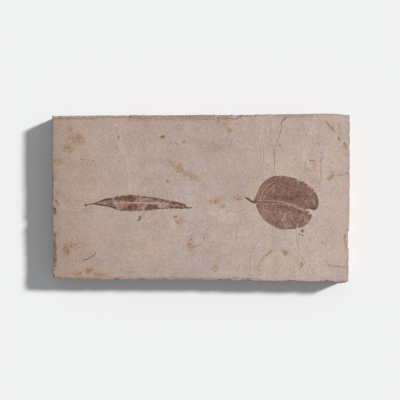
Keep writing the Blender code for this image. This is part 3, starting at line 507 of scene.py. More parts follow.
# The look of the slender leaf, as spots and strokes in each layer
LANCE_LOOKS = {
    "dark": (
        ((-71.4, 0.8, 7.6, 3, 0.9), (-69, -1, 5, 2, 0.65), (-70.6, -8.4, 3.2, 2.6, 0.95),
         (-65.6, -8, 2.4, 2.6, 0.85), (-75.6, -10, 3, 1.4, 0.5), (-51, -8, 3.4, 2.8, 1),
         (-46, -7.4, 3, 2.6, 0.8), (-53.6, -9.6, 3, 1.4, 0.7), (-83, 0, 5, 2, 0.7),
         (-90.6, -5.4, 4.6, 3.4, 0.56), (-55.4, -1.8, 4.4, 1.3, 0.32), (-84.4, 1.6, 2, 1.2, 0.7),
         (-93, -7, 6, 1.2, 0.8), (-87, -8.4, 3.4, 1.5, 0.95), (-83.6, -10.6, 2, 0.9, 0.6),
         (-96, -0.9, 6, 1.2, 0.8), (-90, 0.2, 3.6, 1, 0.7), (-45.6, -0.4, 2.6, 1.4, 0.8),
         (-38.8, -1, 2, 1, 0.7), (-34.6, -2, 2.4, 1.2, 0.7), (-48, 0.6, 3, 1.2, 0.6),
         (-56.6, 1.8, 3, 1, 0.7), (-43.4, -9.4, 4, 1.2, 0.65), (-29, -8.4, 3, 1.3, 0.8),
         (-24, -8.6, 3.6, 1.2, 0.7), (-19.4, -8.8, 2.4, 1.2, 0.9), (-26, -4.2, 5.6, 1.9, 0.8),
         (-19, -5.6, 4, 1.7, 0.95), (-15.8, -6.8, 1.7, 2.2, 0.95), (-14.6, -8.4, 1.4, 0.9, 1),
         (-52.6, -2, 3, 1.6, 0.15), (-40.6, -3, 4, 1.6, 0.3), (-31.4, -4, 2.4, 1.4, 0.5),
         (-64, 2.6, 4, 0.8, 0.3), (-52, 1.6, 4, 0.9, 0.6), (-115.2, -6.3, 1.3, 1, 0.7),
         (-64, -11, 3, 0.8, 0.2), (-80.6, -11, 1.4, 0.9, 0.6), (-37, -9.4, 6, 0.6, 0.45)),
        ((0.6, 0.45, ((-115, -6), (-110, -4.9), (-106.4, -4.6))),
         (0.6, 0.8, ((-107, -4.8), (-104, -5.4), (-100, -6))),
         (1.1, 1, ((-105, -3.6), (-100, -1.8), (-94, -0.2), (-88.6, 0.6))),
         (1, 1.05, ((-104, -5.6), (-98, -6.6), (-91, -8), (-86, -9.6))),
         (0.6, 0.8, ((-81, -11), (-74, -11.2), (-68, -11.4))),
         (0.6, 0.75, ((-80, 2.2), (-72, 3.4), (-66, 3.4)))),
    ),
    "pale": (
        ((-60, -0.6, 4.6, 3, 0.45), (-61.6, -8, 2.6, 2.8, 0.55), (-57.4, -8, 2.6, 3, 0.7),
         (-38, -7.2, 5.6, 2, 0.78), (-34.6, -5.4, 4, 1.7, 0.8), (-44, -4.4, 8, 1.8, 0.95),
         (-97, -4, 8, 1.3, 0.12), (-80, -8, 3, 2, 0.25), (-53.4, -0.2, 3, 1.8, 0.42),
         (-34.4, -8, 0.8, 0.8, 0.8), (-42.6, -6, 1.6, 1.2, 0.4), (-31.6, -6.6, 2, 0.9, 0.5),
         (-64.6, -1, 1.6, 1.6, 0.45), (-57, -3.8, 8, 1, 0.2), (-49.4, 0.4, 1.4, 0.9, 0.4)),
        ((0.75, 0.3, ((-104, -4.6), (-96, -4.3), (-88, -4.1))),
         (0.75, 0.75, ((-86, -4.1), (-76, -3.9), (-60, -4), (-45, -4.4), (-33, -5))),
         (0.5, 0.6, ((-29, -6.2), (-24, -6.5), (-18, -6.9)))),
    ),
    "warm": (
        ((-77, -5, 7, 3.4, 1), (-71, -3, 5, 1.6, 0.6), (-69, -8, 5, 3, 0.4), (-22, -7.4, 1.4, 1.2, 0.9),
         (-93, -3, 5, 1.6, 0.15), (-28, -7.6, 4, 1, 0.5), (-70, 0, 6, 2.4, 0.5), (-90, -7.4, 6, 1.2, 0.4)),
        (),
    ),
    "cool": (
        ((-60, -0.4, 4.4, 2.6, 0.7), (-38, -8, 6, 1.6, 0.7), (-75, -9.6, 3, 1.6, 0.6),
         (-50, 1, 5, 1.4, 0.5), (-24, -3.4, 3, 1, 0.5), (-96, -4, 8, 2, 0.5)),
        (),
    ),
    "olive": (((-38.6, -8.6, 4, 1.2, 0.6), (-27, -2.4, 3, 1, 0.4)), ()),
    "bare": ((), ((0.45, 0.8, LANCE_CRACK),)),
}

# The scraps
STEM_PATH = (
    (-118.2, -61.6), (-116.4, -60.8), (-113.8, -60.3), (-111.6, -58.9), (-108.8, -57.3), (-106.6, -55.6),
    (-105.3, -53.2),
)
STEM_WIDTH = 0.85
SCRAP_OUTLINE = (
    (-62.5, -17.9), (-61.3, -16.9), (-60.1, -17.3), (-59.7, -18.8), (-60.3, -20.5), (-61.7, -21.6),
    (-63.8, -22), (-62.9, -20.8), (-62.3, -19.4),
)

# Films: how they sit in their shallow beds, and their relief as height, lump size and seed
FILM_PROUD = 0.10
FILM_EDGE_ROUND = 0.5
MARGIN_WIDTH = 0.8
FILM_DEPTH = 0.25
BED_DEPTH = 0.32
BED_GAP = 0.03
BED_SLOPE = 0.12
EDGE_RAGGED = 0.13
UNDER_FILM_MARGIN = 0.6
FILM_RELIEF = ((0.03, 1.3, 302), (0.02, 0.6, 303))
FILM_WOBBLE = 0.35
BARE_LOWER = 0.12
PALE_LOWER = 0.04
FULL_RIB = 0.16
FILM_LAYERS = ("dark", "pale", "warm", "cool", "olive", "bare")

# Colours as seen, each red, green and blue out of 255. The stone's tone from left to right: partly its own
# change and partly painted light, darker on the left and lighter towards the lamp on the right
STONE_TONES_AND_LIGHT_FALLOFF = (
    (0.0, (166, 143, 126)), (0.07, (175, 152, 139)), (0.2, (180, 158, 147)), (0.5, (180, 160, 151)),
    (0.7, (185, 166, 155)), (0.88, (190, 169, 159)), (1.0, (191, 170, 160)),
)
SIDE_TONE = (166, 147, 134)
BARE_STONE = (182, 155, 143)

# Films: tone, strength of their mottling, darkness of the margin, the midrib's place and the veins' degrees
FILM_KINDS = {
    "round_leaf_film": ((126, 91, 78), 1.0, 0.3, -3.6, 52.0),
    "lance_leaf_film": ((142, 109, 95), 1.05, 1.0, -4.5, 35.0),
    "scrap_film": ((122, 98, 89), 0.8, 0.5, -57.0, 45.0),
}

# How much red, green and blue each change where a surface is lighter or darker
STONE_SWINGS = (0.88, 1.03, 1.09)
FILM_SWINGS = (0.76, 1.09, 1.28)

# Mottling, as the size of the lumps and how much they change the tone
STONE_LUMPS = ((38.0, 0.03), (14.0, 0.03), (6.0, 0.02), (3.0, 0.035), (1.7, 0.043), (0.95, 0.12))
SIDE_LUMPS = ((20.0, 0.06), (4.0, 0.07), (1.2, 0.06))
FILM_LUMPS = ((9.0, 0.05), (4.5, 0.08), (2.4, 0.13), (1.5, 0.14), (0.95, 0.28))

# Changes of hue: the share of light left, the size of the lumps and how squeezed their noise is
STONE_HUES = (((1.02, 0.98, 0.95), 11, 1), ((0.98, 0.99, 1.03), 7, 1.3), ((0.99, 1.01, 0.99), 15, 1.7))

# Specks: the share of light left, size, how squeezed their noise is, where they begin and end, and strength
STONE_SPECKS = (((0.8, 0.78, 0.75), 1.3, 1, 0.76, 0.92, 1), ((1.1, 1.1, 1.1), 1.4, 1.7, 0.78, 0.92, 1))
FILM_SPECKS = (((1.4, 1.45, 1.45), 1.1, 1, 0.74, 0.88, 0.6), ((0.66, 0.63, 0.6), 1.2, 1.9, 0.74, 0.88, 0.7))

# Stains, and on the stone painted light and shade: the layer, the share of light left, and the size, range
# and swing of the patches that it breaks into
STONE_STAIN_AND_SHADE_TINTS = (
    ("pink", (1.04, 0.95, 0.93), 5.0, 0.05, 0.9, 0.6), ("cream", (1.02, 1.02, 0.95), 5.0, 0.05, 0.7, 0.6),
    ("pale", (1.12, 1.14, 1.17), 3.0, 0.02, 0.95, 0.6), ("soft", (0.62, 0.62, 0.58), 2.5, 0.02, 1.0, 0.8),
    ("ochre", (0.98, 0.885, 0.73), 2.6, 0.03, 0.95, 1.0), ("ochre", (0.67, 0.57, 0.42), 1.1, 0.6, 1.15, 2.8),
    ("rust", (0.96, 0.88, 0.80), 2.4, 0.0, 1.0, 1.0), ("rust", (0.62, 0.54, 0.50), 1.2, 0.25, 1.0, 1.8),
)
FILM_STAINS = (
    ("warm", (1.10, 0.99, 0.91), 4.0, 0.05, 0.9, 0.6), ("cool", (0.98, 1.06, 1.18), 3.6, 0.05, 0.9, 0.7),
    ("olive", (0.98, 1.02, 0.93), 4.0, 0.05, 0.9, 0.6), ("pale", (1.16, 1.24, 1.28), 3.0, 0.05, 0.7, 1.6),
    ("pale", (1.42, 1.62, 1.70), 1.3, 0.1, 0.9, 1.2), ("dark", (0.46, 0.34, 0.29), 1.4, 0.08, 0.66, 1.2),
)

# Other shares of light left
# Dark marks, partly painted shade along the cracks and inside the broken rim
DARK_TINT = (0.34, 0.29, 0.25)
SIDE_STAIN_TINT = (0.86, 0.76, 0.66)
# Painted shade along the rim of the face
RIM_SHADE_TINT = (0.66, 0.62, 0.59)
RIB_TINT = (1.12, 1.12, 1.10)
NETWORK_TINT = (1.14, 1.13, 1.12)
DARK_MARGIN_TINT = (0.55, 0.52, 0.48)
PALE_MARGIN_TINT = (1.22, 1.24, 1.24)

# How much brighter a surface that faces up looks than its own tone
LIGHT_ON_TOP = 1.13

# Noise: ways of the gradients, and the numbers that mix the cells of its grid
WAYS = itertools.product((-1, 0, 1), repeat=3)
GRADIENTS = np.array([way for way in WAYS if sum(map(abs, way)) == 2], float)
HASH_FACTORS = np.array((73856093, 19349663, 83492791))
HASH_MIX = 1274126177
HASH_BITS = 0x7FFFFFFF
SEED_SHIFT = 37.7

# Camera, light and floor
PIXELS_ACROSS = 400
MM_A_PIXEL = 1.0
LENS = 100.0
SENSOR = 36.0
VIEW_CENTRE = (-1.0, -1.0)
LAMP_WAY = (33.0, 14.5, 25.0)
LAMP_DEGREES = 7.0
LAMP_STRENGTH = 4.13
SKY_STRENGTH = 0.35
SKY_COLOUR = (0.97, 1.0, 1.03, 1.0)
FLOOR_TONE = 0.8
FLOOR_HALF = 6.0
FLOOR_LOWER = 0.0001


def rough(places, size, seed):
    """Smooth random values from about -1 to 1, with lumps of one size across."""
    if places.shape[1] == 2:
        places = np.column_stack((places, np.zeros(len(places))))
    shifted = places / size + SEED_SHIFT * seed
    cells = np.floor(shifted).astype(np.int64)
    inner = shifted - cells
    eased = inner ** 3 * (inner * (inner * 6 - 15) + 10)
    total = np.zeros(len(places))
    for corner in itertools.product((0, 1), repeat=3):
        mixed = np.bitwise_xor.reduce((cells + corner) * HASH_FACTORS, axis=1) & HASH_BITS
        mixed = (mixed ^ mixed >> 13) * HASH_MIX & HASH_BITS
        way = GRADIENTS[(mixed ^ mixed >> 16) % len(GRADIENTS)]
        weight = np.where(corner, eased, 1 - eased).prod(axis=1)
        total += weight * ((inner - corner) * way).sum(axis=1)
    return total


def rough_sum(places, *lumps):
    """Several rough values together, each given as its height, its size and its seed."""
    return sum(height * rough(places, size, seed) for height, size, seed in lumps)


def eased_step(values, start, end):
    """0 up to the start and 1 from the end on, with a smooth rise between."""
    share = np.clip((values - start) / (end - start), 0, 1)
    return share * share * (3 - 2 * share)


def curve(points, spacing, closed=False, corners=()):
    """Places about one spacing apart on a smooth curve through the points, which turns sharply at corners."""
    count = len(points)
    dense = []
    for index in range(count if closed else count - 1):
        here = np.array(points[index])
        there = np.array(points[(index + 1) % count])
        sharp_here = points[index] in corners or not closed and index == 0
        sharp_there = points[(index + 1) % count] in corners or not closed and index == count - 2
        before = here if sharp_here else np.array(points[index - 1])
        after = there if sharp_there else np.array(points[(index + 2) % count])
        for t in np.arange(CURVE_STEPS) / CURVE_STEPS:
            dense.append(0.5 * (2 * here + (there - before) * t
                                + (2 * before - 5 * here + 4 * there - after) * t ** 2
                                + (3 * here - before - 3 * there + after) * t ** 3))
    dense.append(points[0] if closed else points[-1])
    dense = np.array(dense)
    lengths = np.concatenate(([0.0], np.cumsum(np.hypot(*np.diff(dense, axis=0).T))))
    stops = np.linspace(0, lengths[-1], max(2, round(lengths[-1] / spacing)) + 1)
    stops = stops[:-1] if closed else stops
    return np.column_stack([np.interp(stops, lengths, dense[:, axis]) for axis in (0, 1)])


def sideways(path, closed=False):
    """For each place on a path, the way to its left."""
    if closed:
        along = np.roll(path, -1, axis=0) - np.roll(path, 1, axis=0)
    else:
        along = np.gradient(path, axis=0)
    return np.column_stack((-along[:, 1], along[:, 0])) / np.hypot(*along.T)[:, None]


def moved(path, shift, closed=False):
    """A path moved to its left, by one distance or by another at each place."""
    return path + sideways(path, closed) * np.reshape(shift, (-1, 1))


def from_path(places, path, reach, closed=False):
    """Each place's distance from a path, at most the reach, and how far along the path it is nearest."""
    best = np.full(len(places), float(reach))
    along = np.zeros(len(places))
    low, high = path.min(axis=0) - reach, path.max(axis=0) + reach
    near = np.flatnonzero(((places > low) & (places < high)).all(axis=1))
    some, some_best, some_along = places[near], best[near], along[near]
    ends = np.roll(path, -1, axis=0) if closed else path[1:]
    start = 0.0
    for a, b in zip(path, ends):
        step = b - a
        length = max(math.hypot(*step), 1e-9)
        offset = some - a
        share = np.clip(offset @ step / length ** 2, 0, 1)
        distance = np.hypot(*(offset - share[:, None] * step).T)
        nearer = distance < some_best
        some_best[nearer] = distance[nearer]
        some_along[nearer] = start + share[nearer] * length
        start += length
    best[near], along[near] = some_best, some_along
    return best, along


def stroke(places, points, half_width, spacing=1.0):
    """1 on a smooth curve through the points, fading to 0 beside it."""
    distance, _ = from_path(places, curve(points, spacing), 3.0 * half_width)
    return np.exp(-(distance / half_width) ** 2)


def inside(places, outline):
    """Whether each place is inside a closed outline."""
    x, y = places.T
    within = np.zeros(len(places), bool)
    for (ax, ay), (bx, by) in zip(outline, np.roll(outline, -1, axis=0)):
        if ay != by:
            within ^= ((ay > y) != (by > y)) & (x < (bx - ax) * (y - ay) / (by - ay) + ax)
    return within


def outside_by(places, outline, reach):
    """Distance from a closed outline, below 0 inside it."""
    distance, _ = from_path(places, outline, reach, closed=True)
    return np.where(inside(places, outline), -distance, distance)


def distance_to(places, others):
    """Each place's distance to the nearest of some other places."""
    tree = kdtree.KDTree(len(others))
    for index, (x, y) in enumerate(others):
        tree.insert((x, y, 0.0), index)
    tree.balance()
    return np.array([tree.find((x, y, 0.0))[2] for x, y in places])


def grid(outline, spacing, seed):
    """Places of a triangular grid inside an outline, each moved a little at random."""
    low, high = outline.min(axis=0), outline.max(axis=0)
    rows = np.arange(low[1], high[1], spacing * math.sqrt(0.75))
    x, y = np.meshgrid(np.arange(low[0], high[0], spacing), rows)
    x[1::2] += spacing / 2
    places = np.column_stack((x.ravel(), y.ravel()))
    places += np.random.default_rng(seed).uniform(-JITTER, JITTER, places.shape) * spacing
    return places[inside(places, outline)]


def triangulated(border, lines, fill):
    """Places and triangles inside a clockwise border, with edges along lines, and the border's numbers."""
    edges = []
    start = len(border)
    for line in lines:
        edges += [(start + step, start + step + 1) for step in range(len(line) - 1)]
        start += len(line)
    vectors = [Vector(place) for place in np.vstack([border, *lines, fill])]
    rim = list(range(len(border)))
    found = geometry.delaunay_2d_cdt(vectors, edges, [rim[::-1]], 0, 1e-5, True)
    places, _, triangles, sources, _, within = found
    triangles = [tuple(triangle) for triangle, faces in zip(triangles, within) if faces]
    number = {source: index for index, merged in enumerate(sources) for source in merged}
    return np.array([tuple(place) for place in places]), triangles, tuple(number[index] for index in rim)


def sheet(outline, spacing, clear, seed):
    """An outline filled with a grid that keeps clear of it, triangulated."""
    fill = grid(outline, spacing, seed)
    return triangulated(outline, [], fill[distance_to(fill, outline) > clear])


def renumbered(groups, start):
    return [tuple(start + number for number in group) for group in groups]


def walls(rings):
    """Triangles between each ring of numbers and the next."""
    faces = []
    for lower, upper in zip(rings, rings[1:]):
        for a, b, c, d in zip(lower, lower[1:] + lower[:1], upper, upper[1:] + upper[:1]):
            faces += [(a, b, d), (a, d, c)]
    return faces


def marked(places, spots, strokes, wobble, seed):
    """How strongly each place is marked by soft spots and strokes, whose shapes wobble a little."""
    if wobble:
        shift = [rough_sum(places, (1, 4.0, seed + side), (0.5, 1.7, seed + side + 5)) for side in (0, 1)]
        places = places + wobble * np.column_stack(shift)
    mark = np.zeros(len(places))
    for x, y, half_width, half_height, strength in spots:
        reach = ((places[:, 0] - x) / half_width) ** 2 + ((places[:, 1] - y) / half_height) ** 2
        mark = np.maximum(mark, strength * np.exp(-reach))
    for half_width, strength, points in strokes:
        mark = np.maximum(mark, strength * stroke(places, points, half_width))
    return mark


def swell(places):
    """How far the bedding plane waves above or below the face."""
    return rough_sum(places, *WAVES) - WAVES_LOWER


def crack_line(points, seed):
    """A crack's path, which wanders a little from side to side."""
    path = curve(points, FACE_STEP)
    return moved(path, rough_sum(path, *((drift, size, first + seed) for drift, size, first in CRACK_DRIFT)))


def crack_lines():
    return [crack_line(points, seed) for seed, (*_, points) in enumerate(CRACKS)]


def crack_openings(places):
    """Each crack's depth and darkness, and how open it is at each place, which is less near its ends."""
    for seed, ((depth, darkness, half_width, _), path) in enumerate(zip(CRACKS, crack_lines())):
        distance, along = from_path(places, path, half_width)
        total = np.hypot(*np.diff(path, axis=0).T).sum()
        ends = eased_step(along, *CRACK_ENDS) * eased_step(total - along, *CRACK_ENDS)
        spots = np.column_stack((along, np.full(len(along), 7.0 * seed)))
        varied = np.clip(CRACK_OPEN + CRACK_VARIES * rough(spots, 3.4, seed), *CRACK_LIMITS)
        yield depth, darkness, ends * varied * (1 - distance / half_width)


def pits(places, floor):
    """How deep or dark each pit is at each place: full on its floor, then less up to its rim."""
    for x, y, radius, darkness in DOTS:
        distance = np.hypot(places[:, 0] - x, places[:, 1] - y)
        yield darkness * (1 - eased_step(distance, floor * radius, DOT_RIM * radius))


def film_outlines():
    """The outlines of the four films, each a closed run of places."""
    edge = curve(ROUND_UPPER + ROUND_LOWER, FILM_EDGE_STEP, corners=ROUND_CORNERS)
    stalk = curve(ROUND_STALK, FILM_EDGE_STEP, corners=STALK_CORNERS)
    upper = toothed(curve(LANCE_UPPER, FILM_EDGE_STEP), UPPER_TEETH, UPPER_TOOTH)
    tip = curve(LANCE_UPPER[-1:] + LANCE_TIP + LANCE_LOWER[:1], FILM_EDGE_STEP)
    lower = toothed(curve(LANCE_LOWER, FILM_EDGE_STEP), LOWER_TEETH, LOWER_TOOTH)
    stem = curve(STEM_PATH, FILM_EDGE_STEP)
    half = STEM_WIDTH / 2 * (0.6 + 0.4 * np.sin(np.linspace(0, math.pi, len(stem))))
    half *= 1 + 0.25 * rough(stem, 1.6, 90)
    found = {
        "round_leaf": np.vstack((edge, stalk[1:-1])),
        "lance_leaf": np.vstack((upper, tip[1:-1], lower)),
        "stem_scrap": np.vstack((moved(stem, half), moved(stem, -half)[::-1])),
        "leaf_scrap": curve(SCRAP_OUTLINE, SCRAP_EDGE_STEP, closed=True),
    }
    for seed, (node, outline) in enumerate(found.items()):
        ragged = EDGE_RAGGED * rough_sum(outline, (1, 1.8, 100 + seed), (1, 0.9, 110 + seed))
        found[node] = moved(outline, ragged, closed=True)
    return found


def toothed(margin, teeth, height):
    """A leaf margin with small teeth that rise slowly towards the tip and end abruptly."""
    lift = np.zeros(len(margin))
    for start in teeth:
        share = (margin[:, 0] - start) / TOOTH_LENGTH
        lift = np.maximum(lift, height * np.clip(share, 0, 1) * eased_step(1.15 - share, 0.0, 0.15))
    return moved(margin, lift)


def stone_height(places, films, border):
    """The height of the block's split face."""
    height = FACE + swell(places)
    height -= RIM_ROUNDING * np.exp(-distance_to(places, border) / RIM_ROUND_WIDTH)
    for seed, (depth, outline) in enumerate(SCARS):
        outer = outside_by(places, np.array(outline), 3.0)
        share = eased_step(-outer, -SCAR_SLOPE / 2, SCAR_SLOPE / 2)
        height -= depth * share * (0.8 + 0.5 * rough(places, 6.0, 130 + seed))
    for rise, half_width, points in RIDGES:
        height += rise * stroke(places, points, half_width, 2.0)
    for depth, _, opening in crack_openings(places):
        height -= depth * opening
    for pit in pits(places, DOT_FLOOR):
        height -= DOT_DEPTH * pit
    for outline in films.values():
        outer = outside_by(places, outline, 1.0)
        height -= BED_DEPTH * (1 - np.clip((outer - BED_GAP) / BED_SLOPE, 0, 1))
    return height


def stone_layers(places, films):
    """How much of each stain, painted light and painted shade there is at each place of the face, with
    painted shade in the cracks and pale halos round the films.
    """
    layers = {layer: marked(places, *marks) for layer, marks in STAINS_AND_PAINTED_LIGHT.items()}
    # Painted shade along each crack's groove
    for _, darkness, opening in crack_openings(places):
        layers["dark"] = np.maximum(layers["dark"], darkness * opening)
    for pit in pits(places, DOT_STAIN):
        layers["dark"] = np.maximum(layers["dark"], pit)
    for outline in films.values():
        halo = HALO * np.exp(-np.abs(outside_by(places, outline, 3.0)) / HALO_WIDTH)
        layers["pale"] = np.maximum(layers["pale"], halo)
    return layers


def all_chips():
    """The named chips of the rim and many small ones."""
    draw = np.random.default_rng(7)
    chips = list(NAMED_CHIPS)
    for side, low, high in (("top", LEFT, RIGHT), ("bottom", LEFT, RIGHT),
                            ("left", BOTTOM, TOP), ("right", BOTTOM, TOP)):
        for _ in range(SMALL_CHIPS_A_SIDE):
            size = draw.uniform(0.0, 1.0) ** 2
            middle = draw.uniform(low, high)
            chips.append((side, middle, *(least + more * size for least, more in SMALL_CHIP)))
    return chips


def wear(side, along, chips):
    """Inset and drop of the upper rim at places along one side of the block."""
    spots = np.column_stack((along, np.full(len(along), 50.0)))
    patchiness = 1 + rough_sum(spots, (0.7, 4.0, 3), (0.4, 1.6, 4))
    broken = 1 + rough_sum(spots, (0.28, 6.0, 8), (0.22, 2.2, 9))
    parts = [(1.0, RIM_INSET * patchiness, RIM_DROP * patchiness)]
    for name, start, end, depth, fall in RIM_BREAKS:
        if name == side:
            share = eased_step(along, start, start + BREAK_END) * eased_step(-along, -end, BREAK_END - end)
            parts.append((share * broken, depth, fall))
    for name, middle, half_length, depth, fall in chips:
        if name == side:
            scoop = np.sqrt(np.clip(1 - ((along - middle) / half_length) ** 2, 0, 1))
            parts.append((scoop, depth, fall))
    return (np.max([share * part[way] for share, *part in parts], axis=0) for way in (0, 1))


def rim_columns():
    """Places round the outline, the way inwards at each, and where and how deep the face's edge is worn."""
    corners = np.array(OUTLINE)
    places = []
    for here, there in zip(corners, np.roll(corners, -1, axis=0)):
        parts = max(1, round(math.hypot(*(there - here)) / RIM_STEP))
        places += [here + (there - here) * part / parts for part in range(parts)]
    places = np.array(places)
    x, y = places.T
    shift = np.zeros_like(places)
    drop = np.zeros(len(places))
    chips = all_chips()
    lower_y = np.interp(x, (LEFT, RIGHT), (BOTTOM + 6.5, BOTTOM + 2.0))
    for side, axis, off_side, sign in (("left", 0, x - LEFT, 1), ("right", 0, RIGHT - x, -1),
                                       ("bottom", 1, np.maximum(0, y - lower_y), 1), ("top", 1, TOP - y, -1)):
        inset, fall = wear(side, places[:, 1 - axis], chips)
        share = np.clip(1 - (off_side - 2.0) / CORNER_REACH, 0, 1)
        shift[:, axis] += sign * inset * share
        drop = np.maximum(drop, fall * share ** 3)
    return places, -sideways(places, closed=True), shift, drop


def laminae(height):
    """Fine bedding layers on the sides, as a small inset that changes with height."""
    return 0.05 * np.sin(2.1 * height) + 0.04 * np.sin(5.3 * height + 1.0)


def wall_rows(columns, inward, shift, drop, rim_heights):
    """Rows of places up the sawn sides, and then over the worn slope towards the rim of the face."""
    rows = []
    shoulder = FACE - drop
    corners = np.array(list(itertools.product((LEFT, RIGHT), (BOTTOM, TOP))))
    near_corner = np.exp(-distance_to(columns, corners) / CORNER_WIDTH)
    for share in np.linspace(0, 1, WALL_ROWS):
        height = BACK_EASE_HEIGHT + (shoulder - BACK_EASE_HEIGHT) * share
        spots = np.column_stack((columns, height))
        inset = SIDE_INSET + SIDE_HOLLOWS * rough(spots, 9.0, 21) ** 2
        inset += SIDE_ROUGHNESS * rough(spots, 2.5, 22) + laminae(height)
        inset += CORNER_WEAR * near_corner * np.abs(rough_sum(spots, (1, 3.2, 24), (0.4, 1.4, 25)))
        inset = np.clip(inset, *SIDE_LIMITS)
        place = columns + inward * inset[:, None] + shift * SHOULDER_SHARE * share ** 6
        rows.append(np.column_stack((place, height)))
    for inset_share, height_share in SLOPE_ROWS:
        height = shoulder + (rim_heights - shoulder) * height_share
        place = columns + shift * inset_share
        bump = 0.25 * rough(np.column_stack((place, height)), 1.7, 23) * np.minimum(1, drop)
        rows.append(np.column_stack((place + inward * bump[:, None], height + 0.5 * bump)))
    return rows


def make_mesh(name, places, faces, layers, sharp_degrees):
    """A named object from places in millimetres, with a value for each layer at each place."""
    mesh = bpy.data.meshes.new(name)
    mesh.from_pydata((np.asarray(places) * MM).tolist(), [], faces)
    bm = bmesh.new()
    bm.from_mesh(mesh)
    bmesh.ops.recalc_face_normals(bm, faces=bm.faces)
    bm.to_mesh(mesh)
    bm.free()
    for layer, values in layers.items():
        attribute = mesh.attributes.new(layer, "FLOAT", "POINT")
        attribute.data.foreach_set("value", np.ascontiguousarray(values, np.float32))
    mesh.shade_smooth()
    mesh.set_sharp_from_angle(angle=math.radians(sharp_degrees))
    return add(name, mesh)


def add(name, data):
    """A new object in the scene."""
    body = bpy.data.objects.new(name, data)
    bpy.context.collection.objects.link(body)
    return body


def runs_inside(line, border, closed=False):
    """The stretches of a line that are well inside the border."""
    line = np.vstack((line, line[:1])) if closed else line
    keep = inside(line, border) & (distance_to(line, border) > LINE_CLEAR)
    runs = []
    for within, group in itertools.groupby(range(len(line)), key=lambda index: keep[index]):
        numbers = list(group)
        if within and len(numbers) > 1:
            runs.append(line[numbers])
    return runs


def face_lines(films, border):
    """The lines that the triangles of the face follow."""
    lines = []
    for (_, _, half_width, _), path in zip(CRACKS, crack_lines()):
        for offset in (-half_width, 0.0, half_width):
            lines += runs_inside(moved(path, offset), border)
    for _, outline in SCARS:
        path = curve(outline, FACE_STEP, closed=True, corners=outline)
        for offset in (-SCAR_SLOPE / 2, SCAR_SLOPE / 2):
            lines += runs_inside(moved(path, offset, closed=True), border, closed=True)
    for outline in films.values():
        for offset in (BED_GAP, BED_GAP + BED_SLOPE):
            lines += runs_inside(moved(outline, offset, closed=True)[::2], border, closed=True)
    turns = np.linspace(0, 2 * math.pi, 8)
    for x, y, radius, _ in DOTS:
        for reach in (0.45 * radius, 1.5 * radius):
            ring = np.column_stack((x + reach * np.cos(turns), y + reach * np.sin(turns)))
            lines += runs_inside(ring, border)
    return lines


def face_fill(films, border, lines):
    """The free places of the face, further apart under the films."""
    fills = []
    for spacing, seed, under in ((FACE_STEP, 11, False), (UNDER_FILM_STEP, 12, True)):
        fill = grid(border, spacing, seed)
        inner = [outside_by(fill, outline, 3.0) < -UNDER_FILM_MARGIN for outline in films.values()]
        fills.append(fill[np.any(inner, axis=0) == under])
    fill = np.vstack(fills)
    return fill[distance_to(fill, np.vstack([border] + lines)) > FACE_CLEAR * FACE_STEP]


def make_slab(films):
    """The block: the split face, the worn rim, the sawn sides and the sawn back, as one closed mesh."""
    columns, inward, shift, drop = rim_columns()
    border = columns + shift
    lines = face_lines(films, border)
    face_places, face_triangles, rim = triangulated(border, lines, face_fill(films, border, lines))
    face_heights = stone_height(face_places, films, border)
    back_ring = columns + inward * (BACK_EASE * (1 + 0.8 * rough(columns, 3.0, 20)))[:, None]
    back_places, back_triangles, back_rim = sheet(back_ring, BACK_STEP, BACK_CLEAR * BACK_STEP, 13)
    rows = wall_rows(columns, inward, shift, drop, face_heights[list(rim)])
    places = np.vstack([np.column_stack((face_places, face_heights)),
                        np.column_stack((back_places, np.full(len(back_places), BACK)))] + rows)

    count = len(columns)
    face_count = len(face_places)
    row_start = face_count + len(back_places)
    rings = renumbered([back_rim], face_count)
    rings += [tuple(range(start, start + count)) for start in range(row_start, len(places), count)]
    faces = face_triangles + renumbered(back_triangles, face_count) + walls(rings + [rim])

    on_face = np.arange(len(places)) < face_count
    depth = np.clip(FACE - 0.8 - places[:, 2], 0, None)
    layers = {layer: values * np.exp(-depth / (DARK_DEPTH if layer == "dark" else STAIN_AND_SHADE_DEPTH))
              for layer, values in stone_layers(places[:, :2], films).items()}
    layers["side"] = np.where(on_face, 0.0, eased_step(depth, 0.0, 1.2))
    from_rim = np.zeros(len(places))
    from_rim[on_face] = distance_to(face_places, border)
    # Painted shade along the rim, fading over the face and down the sides
    layers["rim"] = np.exp(-from_rim / RIM_DARK_WIDTH - depth / RIM_DARK_DEPTH)
    return make_mesh("slab_stone", places, faces, layers, SLAB_SHARP)


def make_film(name, outline, step, veins, looks):
    """A film: a thin closed shell that follows the waves of the face, with raised veins and flaked spots."""
    places, triangles, rim = sheet(outline, step, FILM_CLEAR * step, 31)
    edge, _ = from_path(places, outline, 4.0, closed=True)
    layers = {layer: marked(places, *looks.get(layer, ((), ())), FILM_WOBBLE, 300) for layer in FILM_LAYERS}
    layers["edge"] = np.exp(-edge / MARGIN_WIDTH)
    rib = np.zeros(len(places))
    for half_width, height, points in veins:
        rib = np.maximum(rib, height * stroke(places, points, half_width, 0.8))
    layers["rib"] = rib / FULL_RIB
    heights = FACE + swell(places) + FILM_PROUD * eased_step(edge, 0.0, FILM_EDGE_ROUND)
    heights += rib * eased_step(edge, 0.0, 1.0) + rough_sum(places, *FILM_RELIEF)
    heights -= BARE_LOWER * layers["bare"] + PALE_LOWER * layers["pale"]

    back_places, back_triangles, back_rim = sheet(outline, FILM_BACK_STEP, 0.5, 32)
    back_heights = FACE + swell(back_places) - FILM_DEPTH
    start = len(places)
    faces = triangles + renumbered(back_triangles, start) + walls(renumbered([back_rim], start) + [rim])
    points = np.vstack((np.column_stack((places, heights)), np.column_stack((back_places, back_heights))))
    layers = {layer: np.pad(values, (0, len(back_places))) for layer, values in layers.items()}
    return make_mesh(name, points, faces, layers, FILM_SHARP)


